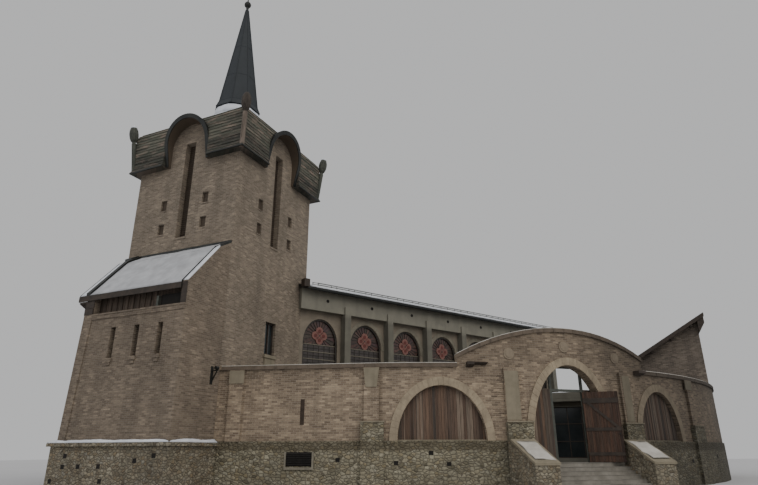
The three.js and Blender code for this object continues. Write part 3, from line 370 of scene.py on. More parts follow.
M = {
    "tower": brick("tower_brick", TOWER_TURN, (0.168, 0.134, 0.099), (0.262, 0.212, 0.158), (0.31, 0.268, 0.215)),
    "lean_to": brick("lean_to_brick", TOWER_TURN, (0.14, 0.108, 0.079), (0.228, 0.181, 0.132), (0.27, 0.228, 0.181)),
    "wall": brick("courtyard_brick", None, (0.185, 0.138, 0.096), (0.36, 0.28, 0.195), (0.43, 0.36, 0.28),
        row=0.088, far_shade=True),
    "wing": brick("wing_brick", TOWER_TURN, (0.1, 0.08, 0.064), (0.175, 0.144, 0.114), (0.22, 0.195, 0.165)),
    "rubble": rubble("rubble", [
        (0.125, 0.102, 0.068), (0.26, 0.225, 0.158), (0.19, 0.17, 0.122), (0.33, 0.295, 0.218), (0.22, 0.172, 0.105),
        (0.28, 0.26, 0.208)], (0.09, 0.077, 0.058)),
    "rubble_wall": rubble("courtyard_rubble", [
        (0.13, 0.115, 0.075), (0.29, 0.26, 0.18), (0.22, 0.2, 0.14), (0.36, 0.33, 0.24), (0.24, 0.2, 0.12),
        (0.31, 0.29, 0.22)], (0.1, 0.085, 0.065), moss=1.72, far_shade=True),
    "stone": plain("ring_stone", (0.25, 0.205, 0.145), (0.41, 0.335, 0.235), 2.6, 0.9, depth=0.006, streaks=0.35,
        far_shade=True),
    "cap": plain("cap_stone", (0.19, 0.165, 0.115), (0.28, 0.243, 0.175), 2.2, 0.9, depth=0.006, streaks=0.3,
        far_shade=True),
    "coping": plain("coping_brick", (0.09, 0.07, 0.052), (0.165, 0.129, 0.095), 4, 0.9, depth=0.008, far_shade=True),
    "steps": plain("step_stone", (0.17, 0.155, 0.13), (0.31, 0.29, 0.25), 2.4, 0.88, depth=0.006, streaks=0.2),
    "render": plain("nave_render", (0.175, 0.15, 0.115), (0.255, 0.216, 0.165), 1.3, 0.93, streaks=0.3),
    "concrete": plain("nave_concrete", (0.185, 0.176, 0.143), (0.245, 0.233, 0.186), 1.5, 0.93, streaks=0.25,
        dim_below=9.4),
    "surround": plain("window_surround", (0.155, 0.14, 0.107), (0.24, 0.218, 0.168), 2.6, 0.92, streaks=0.3),
    "metal": plain("dark_sheet_metal", (0.012, 0.014, 0.014), (0.038, 0.04, 0.036), 2.2, 0.5, 0.5),
    "verge": plain("dark_boards", (0.022, 0.016, 0.012), (0.06, 0.043, 0.031), 5, 0.75, streaks=0.3),
    "spire": plain("spire_sheet", (0.018, 0.023, 0.027), (0.025, 0.031, 0.037), 1.6, 0.7, 0.1, depth=0.002,
        streaks=0.2),
    "planks": planks("arch_planks", None, [
        (0.022, 0.015, 0.011), (0.16, 0.1, 0.066), (0.042, 0.034, 0.028), (0.21, 0.16, 0.118), (0.075, 0.044, 0.029)],
        0.135, gap=False, far_shade=True),
    "leaf": planks("leaf_planks", LEAF_TURN, [
        (0.028, 0.015, 0.01), (0.075, 0.038, 0.023), (0.05, 0.03, 0.02), (0.095, 0.056, 0.038)], 0.14),
    "band": planks("eave_planks", TOWER_TURN, [(0.052, 0.038, 0.027), (0.1, 0.072, 0.053)], 0.18),
    # The crown's boards, with painted shade on their lower rows
    "crown": planks("crown_boards", TOWER_TURN, [
        (0.04, 0.041, 0.03), (0.078, 0.082, 0.06), (0.056, 0.052, 0.041), (0.115, 0.113, 0.085)], 0.16, across=True,
        gap=False, shade_below=17.5, streak=(0.22, 0.168, 0.132)),
    "post": planks("carved_posts", POST_GRAIN_TURN, [(0.036, 0.04, 0.032), (0.07, 0.074, 0.058)], 0.09, gap=False),
    "pale_post": planks("pale_post", POST_GRAIN_TURN, [(0.1, 0.078, 0.06), (0.17, 0.135, 0.108)], 0.09, gap=False,
        dark_from=18.42),
    "frame": plain("gate_frame_paint", (0.04, 0.045, 0.037), (0.085, 0.092, 0.076), 4, 0.7, streaks=0.3),
    "louvre": plain("louvre_boards", (0.042, 0.03, 0.02), (0.085, 0.062, 0.042), 5, 0.85, streaks=0.2),
    "barrel": plain("barrel_roof_metal", (0.012, 0.014, 0.014), (0.038, 0.04, 0.036), 2.2, 0.5, 0.3,
        under=(0.115, 0.09, 0.066)),
    "round": plain("round_stone", (0.2, 0.16, 0.115), (0.285, 0.235, 0.17), 3, 0.9, depth=0.005, far_shade=True),
    "slit": plain("slit_shade", (0.03, 0.02, 0.013), (0.06, 0.042, 0.028), 5, 0.9),
    "low_panes": plain("low_panes", (0.026, 0.022, 0.018), (0.07, 0.055, 0.05), 3, 0.3, depth=0.002),
    "rail": plain("rail_metal", (0.1, 0.105, 0.105), (0.19, 0.195, 0.19), 3, 0.5, 0.4),
    "glass": plain("dark_glass", (0.01, 0.014, 0.016), (0.03, 0.036, 0.038), 0.8, 0.12, depth=0.001),
    "lead": plain("window_bars", (0.02, 0.017, 0.014), (0.05, 0.042, 0.033), 5, 0.6),
    "rose": plain("rose_glass", (0.15, 0.06, 0.048), (0.25, 0.105, 0.08), 5, 0.35, depth=0.002),
    "red": plain("red_glass", (0.085, 0.013, 0.009), (0.145, 0.025, 0.015), 6, 0.3, depth=0.002),
    # Near black: painted shade, for patches that stand for the dark inside holes, ports, the wall vent and the pane
    # under the lean-to's eave
    "hole": plain("hole_shade", (0.006, 0.005, 0.004), (0.014, 0.012, 0.01), 4, 0.95),
    "floor": plain("pale_floor", (0.5, 0.5, 0.51), (0.54, 0.54, 0.55), 0.12, 0.95, depth=0.002),
    "snow": snow("snow", (0.56, 0.59, 0.64), (0.76, 0.78, 0.82)),
    "thin_snow": snow("thin_snow", (0.34, 0.345, 0.36), (0.49, 0.5, 0.52)),
    "old_snow": snow("old_snow", (0.36, 0.34, 0.3), (0.58, 0.55, 0.5)),
    "panes": leaded_panes(),
}

# ---- mesh building


def around(count, start=0):
    """The cosine and sine of equal turns in a circle."""
    return [(cos(start + 2 * pi * i / count), sin(start + 2 * pi * i / count)) for i in range(count)]


def spread(start, end, count):
    return [start + (end - start) * i / count for i in range(count + 1)]


def lengths(start, end, size, gap):
    """The two ends of each of the equal lengths in a stretch, with a gap taken off at both."""
    ends = spread(start, end, round((end - start) / size))
    return [(a + gap, b - gap) for a, b in zip(ends, ends[1:])]


class Form:
    """Closed bodies gathered in one mesh and drawn in a place's own coordinates."""

    def __init__(self, put):
        self.put = put if callable(put) else putter(put)
        self.verts = []
        self.faces = []

    def rings(self, rings, closed=False):
        """Rings of equal length joined into a body, with a cap at each end unless it closes on itself."""
        base, count = len(self.verts), len(rings[0])
        for ring in rings:
            self.verts += [self.put(*p) for p in ring]
        for level in range(len(rings) if closed else len(rings) - 1):
            a, b = base + level * count, base + ((level + 1) % len(rings)) * count
            for i in range(count):
                j = (i + 1) % count
                self.faces.append((a + i, a + j, b + j, b + i))
        if not closed:
            top = base + (len(rings) - 1) * count
            self.faces.append(tuple(base + i for i in reversed(range(count))))
            self.faces.append(tuple(top + i for i in range(count)))

    def box(self, x0, x1, y0, y1, z0, z1):
        self.rings([[(x0, y0, z), (x1, y0, z), (x1, y1, z), (x0, y1, z)] for z in (z0, z1)])

    def plate(self, outline, y0, y1):
        """An outline in the x-z plane, as thick as from y0 to y1."""
        self.rings([[(x, y, z) for x, z in outline] for y in (y0, y1)])

    def strip(self, ends, y0, y1, foot):
        """A body along x with an upright section at each of its (x, top)."""
        self.rings([[(x, y0, foot), (x, y1, foot), (x, y1, top), (x, y0, top)] for x, top in ends])

    def raised(self, corners, lift):
        """A body between four corners and the same ones lifted."""
        self.rings([corners, [(x, y, z + lift) for x, y, z in corners]])

    def disc(self, x, z, y0, y1, radius, sides):
        self.plate([(x + radius * c, z + radius * s) for c, s in around(sides)], y0, y1)

    def bar(self, x0, z0, x1, z1, y0, y1, width):
        """A straight bar in the x-z plane."""
        run = Vector((x1 - x0, z1 - z0))
        sx, sz = Vector((-run.y, run.x)).normalized() * width / 2
        self.plate([(x0 - sx, z0 - sz), (x1 - sx, z1 - sz), (x1 + sx, z1 + sz), (x0 + sx, z0 + sz)], y0, y1)


def boxes(put, *rows):
    form = Form(put)
    for row in rows:
        form.box(*row)
    return form


def mesh_of(name, form, material):
    mesh = bpy.data.meshes.new(name)
    mesh.from_pydata([tuple(v) for v in form.verts], [], form.faces)
    mesh.materials.append(M[material])
    item = bpy.data.objects.new(name, mesh)
    link(item)
    return item


def piece(name, form, material, body="building", smooth=False):
    item = mesh_of(name, form, material)
    work = bmesh.new()
    work.from_mesh(item.data)
    bmesh.ops.recalc_face_normals(work, faces=work.faces)
    work.to_mesh(item.data)
    work.free()
    if smooth:
        item.data.shade_smooth()
    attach(item, body)


def snow_sheet(name, matrix, patches, thickness, cells, ragged, seed=0, kind="snow"):
    """Snow on one or more four-cornered slopes, thick in the middle and ragged at the rim."""
    form = Form(in_world)
    nu, nv = cells
    size = (nu + 1) * (nv + 1)
    for index, corners in enumerate(patches):
        a, b, c, d = (matrix @ Vector(p) for p in corners)
        centre = (a + b + c + d) / 4
        up = (b - a).cross(d - a).normalized()
        if up.z < 0:
            up = -up
        base = len(form.verts)
        top, bottom = [], []
        for j in range(nv + 1):
            for i in range(nu + 1):
                u, v = i / nu, j / nv
                at = (a * (1 - u) + b * u) * (1 - v) + (d * (1 - u) + c * u) * v
                inward = min(u, 1 - u, v, 1 - v)
                wave = noise.fractal(at * 1.1 + Vector((seed, index, 0)), 0.8, 2, 4)
                if inward < 1e-6:
                    at = at + (centre - at) * max(0, ragged * (0.5 + wave))
                height = thickness * min(1, 0.35 + inward * 14) * (0.8 + 0.35 * wave)
                top.append(at + up * max(height, 0.006))
                bottom.append(at + up * 0.001)
        form.verts += top + bottom
        grid = [[base + j * (nu + 1) + i for i in range(nu + 1)] for j in range(nv + 1)]
        for near, far in zip(grid, grid[1:]):
            for i in range(nu):
                quad = (near[i], near[i + 1], far[i + 1], far[i])
                form.faces += [quad, tuple(k + size for k in reversed(quad))]
        rim = grid[0][:-1] + [row[-1] for row in grid[:-1]] + grid[-1][:0:-1] + [row[0] for row in grid[:0:-1]]
        form.faces += [(k, k + size, l + size, l) for k, l in zip(rim, rim[1:] + rim[:1])]
    piece(name, form, kind, smooth=True)


def arch_line(arch, s, ring=0):
    start, end, foot, apex = arch
    across = (s - (start + end) / 2) / ((end - start) / 2 + ring)
    return foot + (apex + ring - foot) * sqrt(max(0, 1 - across * across))


ARCHES = {"left": (8.13, 11.96, 2, 4.29), "right": (20.08, 23.26, 2, 4.29), "entrance": (14.1, 18.13, 1.95, 5.27)}

# ---- the CAD nodes' materials and the floor

PAINT = {
    "glass": "tower_low_window nave_front_glass nave_back_glass hall_glass",
    "spire": "spire", "metal": "spire_ball lean_to_roof nave_roof", "band": "lean_to_eave_band",
    "rubble": "lean_to_plinth steps_cheek_left steps_cheek_right", "rubble_wall": "plinth_left plinth_right",
    "render": "nave_front_wall nave_back_wall nave_tower_end_wall nave_far_end_wall",
    "concrete": "nave_front_frame nave_back_frame hall_front_wall hall_back_wall hall_roof",
    "planks": "left_arch_planks right_arch_planks gate_side_panel_left gate_side_panel_right",
    "steps": "entrance_steps", "frame": "gate_frame", "pale_post": "corner_post_front_right", "leaf": "gate_leaf",
    "wing": "wing_walls", "verge": "wing_roof",
}
PAINT_OF = {name: kind for kind, names in PAINT.items() for name in names.split()}
FAMILIES = (("tower", "tower"), ("lean_to", "lean_to"), ("crown_roof", "crown"), ("corner_post", "post"),
            ("gable_roof", "barrel"), ("", "wall"))
for name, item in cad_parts.items():
    family = next(kind for start, kind in FAMILIES if name.startswith(start))
    item.data.materials.clear()
    item.data.materials.append(M[PAINT_OF.get(name, family)])

floor = mesh_of("floor", boxes(in_world, (-90, 90, -90, 90, -0.05, -0.002)), "floor")

# ---- tower

CROWN = [(3.95, 16.5), (3.95, 16.6), (3.87, 16.75), (3.88, 17.7), (3.88, 18.7), (3.79, 18.98), (3.58, 19.15),
         (3.33, 19.29), (2.94, 19.5), (2.6, 19.68), (1.25, 21.05)]
BOARD_RISE = 0.185
GABLE_Z = 17.69
GABLE_R = 1.53
POST_CORNER, POST_FOOT, POST_LEAN = 3.8, 16.5, radians(7.5)
SLIT_LEFT, SLIT_RIGHT = -0.329, 0.359


def crown_at(distance):
    """(half width, height) at a distance up the crown's profile from its eave."""
    for (h0, z0), (h1, z1) in zip(CROWN, CROWN[1:]):
        step = hypot(h1 - h0, z1 - z0)
        if distance <= step:
            k = distance / step
            return h0 + (h1 - h0) * k, z0 + (z1 - z0) * k
        distance -= step
    return CROWN[-1]


def gable_edge(z):
    """Half width of the gable's barrel roof at a height, with a little room."""
    if z > GABLE_Z + GABLE_R:
        return 0
    return sqrt(max(0, GABLE_R ** 2 - max(0, z - GABLE_Z) ** 2)) + 0.02


def gable_front(z):
    """Where the leaning front edge of the gable's roof stands at a height."""
    return -3.62 - 0.63 * (z - 16.4) / 2.92


dice = random.Random(7)
for side, matrix in SIDES.items():
    boards = Form(matrix)
    row = 0.05
    while row < 5.5:
        profile = crown_at(row), crown_at(row + 0.21)
        (low_half, low_z), (high_half, high_z) = profile
        lean = Vector((high_z - low_z, low_half - high_half)).normalized()
        edges = gable_edge(low_z), gable_edge(high_z)
        ends = low_half + 0.02, high_half + 0.01
        for hand in (-1, 1):
            cuts = [0, 0.35 + 0.3 * dice.random(), 1]
            for c0, c1 in zip(cuts, cuts[1:]):
                def face(*outs):
                    """The board's four corners, at a distance out for its lower and its upper edge."""
                    return [(hand * (edges[k] + (ends[k] - edges[k]) * cut), -(profile[k][0] + outs[k] * lean.x),
                             profile[k][1] + outs[k] * lean.y) for cut, k in ((c0, 0), (c1, 0), (c1, 1), (c0, 1))]
                boards.rings([face(-0.01, -0.01), face(0.022 + 0.02 * dice.random(), 0.004)])
        row += BOARD_RISE
    piece(f"crown_boards_{side}", boards, "crown")

    trim = Form(matrix)
    for hand in (-1, 1):
        trim.box(*sorted((hand * 1.56, hand * 3.98)), -3.985, -3.9, 16.5, 16.57)
        trim.box(*sorted((hand * 1.535, hand * 1.6)), -3.845, -3.75, 16.6, 17.6)
    arc = [(1, 16.51, 0)] + [(cos(a), GABLE_Z, sin(a)) for a in spread(0, pi, 28)] + [(-1, 16.51, 0)]
    trim.rings([[(r * c, gable_front(foot + r * s) - out, foot + r * s) for r, out in
                 ((1.32, 0.045), (1.32, 0.002), (1.552, 0.002), (1.552, 0.045))] for c, foot, s in arc])
    for angle in spread(0, pi, 8)[1:-1]:
        c, s = cos(angle), sin(angle)
        trim.rings([[(r * c - d * s, y, GABLE_Z + r * s + d * c) for r, d in
                     ((1.52, -0.012), (1.552, -0.012), (1.552, 0.012), (1.52, 0.012))]
                    for y in (gable_front(GABLE_Z + GABLE_R * s), -2.32)])
    piece(f"gable_trim_{side}", trim, "metal")

    windows, sills = Form(matrix), Form(matrix)
    for x in (-1.43, 1.43):
        for z in (12.5, 13.9):
            windows.box(x - 0.199, x + 0.199, -3.39, -3.35, z + 0.001, z + 0.619)
            sills.box(x - 0.23, x + 0.23, -3.53, -3.4, z - 0.06, z - 0.002)
    piece(f"tower_small_shutters_{side}", windows, "louvre")
    sills.box(-0.37, 0.4, -3.54, -3.3, 12.05, 12.148)
    piece(f"tower_sills_{side}", sills, "tower")
    louvres = boxes(matrix, (SLIT_LEFT, SLIT_RIGHT, -3.14, -3.122, 12.151, 17.799))
    for i in range(46):
        z = 12.2 + i * 0.12
        louvres.raised([(SLIT_LEFT, -3.19, z), (SLIT_RIGHT, -3.19, z), (SLIT_RIGHT, -3.138, z + 0.09),
                        (SLIT_LEFT, -3.138, z + 0.09)], 0.02)
    piece(f"belfry_louvres_{side}", louvres, "louvre")

# The low window on the right face
x0, x1, z0, z1 = -0.249, 0.649, 6.301, 7.999
piece("tower_low_window_frame", boxes(SIDES["right"], *[(a, b, -3.36, -3.301, c, d) for a, b, c, d in (
    (x0, x0 + 0.07, z0, z1), (x1 - 0.07, x1, z0, z1), (x0, x1, z0, z0 + 0.07), (x0, x1, z1 - 0.07, z1),
    (0.17, 0.23, z0, z1))]), "verge")
piece("tower_low_window_sill", boxes(
    SIDES["right"], (-0.33, 0.73, -3.62, -3.495, 6.12, 6.28),
    (-0.24, 0.64, -3.57, -3.495, 5.45, 6.12)), "cap")

# Snow on the crown's slopes, round the neck of the spire and on three of the posts' heads
snow_sheet("crown_snow", TOWER, [[rotated(i * pi / 2) @ Vector(p) for p in (
    (-2.62, -2.62, 19.7), (2.62, -2.62, 19.7), (1.28, -1.28, 21.06), (-1.28, -1.28, 21.06))]
    for i in range(4)], 0.1, (26, 12), 0.1)
neck = Form(TOWER)
neck_rings = []
for radius, z in ((1.135, 21.03), (1.52, 21.03), (1.5, 21.3), (1.42, 21.6), (1.36, 21.68), (1.135, 21.68)):
    ring = []
    for i, (c, s) in enumerate(around(40)):
        wave = 0.05 * noise.fractal(Vector((2 * c, 2 * s, z)), 0.8, 2, 3) if radius > 1.2 else 0
        flat = cos(pi / 8) / cos((2 * pi * i / 40 - pi / 8) % (pi / 4) - pi / 8)
        ring.append(((radius + wave) * flat * c, (radius + wave) * flat * s, z))
    neck_rings.append(ring)
neck.rings(neck_rings, closed=True)
piece("spire_neck_snow", neck, "snow", smooth=True)
for name, sx, sy in (("back_right", 1, 1), ("back_left", -1, 1), ("front_left", -1, -1)):
    foot = shifted(sx * POST_CORNER, sy * POST_CORNER, POST_FOOT)
    head = Form(TOWER @ foot @ rotated(POST_LEAN, Vector((-sy, sx, 0))))
    head.rings([[(r * c, r * s, h) for c, s in around(12)]
                for r, h in ((0.18, 2.975), (0.185, 3.02), (0.15, 3.09), (0.09, 3.14), (0.03, 3.165))])
    piece(f"post_snow_{name}", head, "snow", smooth=True)

# Seams on the spire, up its edges and round it
seams = Form(TOWER)
EIGHT = around(8, pi / 8)
for c, s in EIGHT:
    seams.rings([[(radius * c - d * s + o * c, radius * s + d * c + o * s, z)
                  for d, o in ((-0.025, -0.02), (0.025, -0.02), (0.025, 0.022), (-0.025, 0.022))]
                 for radius, z in ((1.452, 21.7), (1.274, 22.15), (0.1, 30))])
for z, radius in ((21.72, 1.445), (22.15, 1.27), (24.2, 0.964), (26.6, 0.607)):
    seams.rings([[((radius + o) * c, (radius + o) * s, z + h)
                  for o, h in ((-0.03, -0.012), (0.01, -0.012), (0.01, 0.012), (-0.03, 0.012))]
                 for c, s in EIGHT], closed=True)
piece("spire_seams", seams, "spire")

# ---- lean-to

LEAN_DEPTH = 2.64
LEAN_FRONT = TOWER @ shifted(0, TOWER_FACE - LEAN_DEPTH)
JUST_OUT = -0.0005  # a hair before the brick face
KINK, EAVE = 0.8, 2.69  # distances in front of the tower
LEDGE_Z = 1.952


def lean_top(distance):
    """(y, z) on the lean-to roof's upper face at a distance in front of the tower."""
    height = 11.32 - 0.6 * distance if distance < KINK else 10.84 - 2.14 * (distance - KINK) / 1.84
    return TOWER_FACE - distance, height


def lean_strip(form, x0, x1, d0, d1, lift, sink=0.02):
    """A strip on the lean-to roof between two distances in front of the tower, in two parts if it bends."""
    if d0 < KINK < d1:
        lean_strip(form, x0, x1, d0, KINK, lift)
        lean_strip(form, x0, x1, KINK, d1, lift)
        return
    (y0, z0), (y1, z1) = lean_top(d0), lean_top(d1)
    form.raised([(x0, y1, z1 - sink), (x1, y1, z1 - sink), (x1, y0, z0 - sink), (x0, y0, z0 - sink)], sink + lift)


def lean_patch(x0, x1, d0, d1):
    (ya, za), (yb, zb) = lean_top(d1), lean_top(d0)
    return (x0, ya, za), (x1, ya, za), (x1, yb, zb), (x0, yb, zb)


ribs = Form(TOWER)
for strip in ((-3.22, -3.185, 0.01, EAVE, 0.05), (-2.78, -2.54, 0.01, EAVE, 0.15), (3.165, 3.205, 0.1, EAVE, 0.085),
              (-2.54, 3.17, 0.002, 0.12, 0.08), (-3.215, -2.75, 0.002, 0.45, 0.2), (3.36, 3.495, 0.002, 0.65, 0.13)):
    lean_strip(ribs, *strip)
ribs.box(-3.2, 3.44, -3.535, -3.5005, 11.34, 11.46)
piece("lean_to_roof_ribs", ribs, "metal")
eave_edge = boxes(LEAN_FRONT, (-3.21, 3.19, -0.085, -0.06, 8.37, 8.63), (3.2, 3.505, -0.022, JUST_OUT, 7.685, 8.66))
eave_edge.plate(((-2.705, 7.98), (-2.155, 8.02), (-2.155, 8.36), (-3.215, 8.36)), -0.03, JUST_OUT)
eave_edge.plate(((-2.7005, 7.98), (-2.7005, 8.29), (-3.19, 8.29)), -0.03, 0.5)
eave_edge.box(-2.71, -2.152, -0.06, JUST_OUT, 7.685, 7.98)
piece("lean_to_eave_edge", eave_edge, "verge")
snow_sheet("lean_to_roof_snow", TOWER, [lean_patch(-2.54, 3.17, KINK, EAVE), lean_patch(-2.54, 3.17, 0.11, KINK)],
           0.07, (40, 16), 0.004, 3, "thin_snow")
snow_sheet("lean_to_verge_snow", TOWER, [
    lean_patch(-3.185, -2.78, KINK, EAVE), lean_patch(-3.185, -2.78, 0.45, KINK), lean_patch(3.205, 3.5, KINK, 2.63),
    lean_patch(3.205, 3.36, 0.05, KINK)], 0.065, (4, 16), 0.004, 5)

band = Form(LEAN_FRONT)
for i in range(11):
    x = -2.13 + i * 0.355
    band.box(x - 0.03, x + 0.03, 0.31, 0.35, 7.7, 8.52)
band.box(-2.145, 3.19, 0.3, 0.35, 7.685, 7.75)
piece("lean_to_band_battens", band, "band")
piece("lean_to_band_post", boxes(
    LEAN_FRONT, (1.66, 1.78, 0.1, 0.25, 7.75, 8.2), (1.63, 1.81, 0.09, 0.26, 7.685, 7.75)), "frame")
# A near-black sheet of painted shade under the lean-to's eave
piece("lean_to_band_pane", boxes(LEAN_FRONT, (1.83, 3.19, 0.22, 0.24, 7.685, 8.25)), "hole")
corbels = Form(LEAN_FRONT)
for x in (-0.65, 0.8, 2.2):
    corbels.box(x - 0.2, x + 0.2, -0.07, 0.02, 5.38, 5.545)
    corbels.box(x - 0.12, x + 0.12, -0.04, 0.02, 5.22, 5.38)
piece("lean_to_slit_sills", corbels, "lean_to")
piece("lean_to_band_sill", boxes(
    LEAN_FRONT, (-2.16, 3.19, -0.06, 0.3, 7.61, 7.679), (3.205, 3.5, -0.06, JUST_OUT, 7.61, 7.679),
    (-2.16, 3.5, -0.035, JUST_OUT, 7.41, 7.61)), "lean_to")
pier = Form(LEAN_FRONT)
pier.rings([[(x0, -0.045, z), (x1, -0.045, z), (x1, JUST_OUT, z), (x0, JUST_OUT, z)]
            for x0, x1, z in ((-2.99, -2.54, 1.96), (-2.7, -2.16, 7.4), (-2.7, -2.155, 7.98))])
piece("lean_to_corner_pier", pier, "lean_to")
# Putlog holes as dark patches of painted shade
piece("plinth_putlog_holes", boxes(LEAN_FRONT, *[
    (x - 0.1, x + 0.1, -0.137, -0.1, z - 0.09, z + 0.09) for x, z in (
        (-2.2, 1.42), (-2.25, 0.98), (-1.3, 1), (-0.1, 1.02), (1.9, 1.25), (0.1, 0.45), (2.9, 1.45), (-2.9, 0.4))]),
    "hole")
snow_sheet("lean_to_ledge_snow", LEAN_FRONT, [[(x, y, LEDGE_Z) for x, y in patch] for patch in (
    ((-3.36, -0.255), (3.76, -0.255), (3.51, -0.01), (-3.1, -0.01)),
    ((3.76, -0.255), (3.76, 2.62), (3.51, 2.62), (3.51, 0)))], 0.14, (60, 4), 0.02, 9)

# ---- nave

BAYS = 7
BAY_FIRST, BAY_WIDTH = 1.4, 3.25
WINDOW_HALF, WINDOW_SILL, WINDOW_SPRING, WINDOW_RISE = 1.17, 6.1, 7.5, 1.45
LIGHTS_HALF, LIGHTS_SILL, LIGHTS_TOP = 1.09, 6.18, 7.44
ROSE_Z, ROSE_R = 7.98, 0.42
WALL_HEAD, RISE, HALF_WIDTH, OVERHANG, ROOF_THICK = 10.7, 1.75, 6, 0.76, 0.18
SLOPE = RISE / HALF_WIDTH
EAVE_Z = WALL_HEAD - OVERHANG * SLOPE
GUTTER_Z = EAVE_Z + 0.0003
RIDGE = WALL_HEAD + RISE + ROOF_THICK + 0.002
FAR_END = 22.9


def window_point(centre, angle, inset):
    return centre + (WINDOW_HALF - inset) * cos(angle), WINDOW_SPRING + (WINDOW_RISE - inset) * sin(angle)


def window_top(x, inset):
    return WINDOW_SPRING + (WINDOW_RISE - inset) * sqrt(max(0, 1 - (x / (WINDOW_HALF - inset)) ** 2))


def window_outline(centre, inset):
    half = WINDOW_HALF - inset
    points = [(centre - half, WINDOW_SILL + inset), (centre + half, WINDOW_SILL + inset)]
    return points + [window_point(centre, angle, inset) for angle in spread(0, pi, 22)]


def band_between(form, a, b, y0, y1, closed=False):
    """A band between two outlines."""
    form.rings([[(px, y0, pz), (qx, y0, qz), (qx, y1, qz), (px, y1, pz)] for (px, pz), (qx, qz) in zip(a, b)], closed)


def spoke_length(c, s):
    """How far a spoke runs from the rose's centre to the arch or the lower lights."""
    far = 0
    while far < 1.6 and not (abs(c * far) > WINDOW_HALF - 0.09 or ROSE_Z + s * far > window_top(c * far, 0.09)
                             or ROSE_Z + s * far < LIGHTS_TOP):
        far += 0.01
    return far


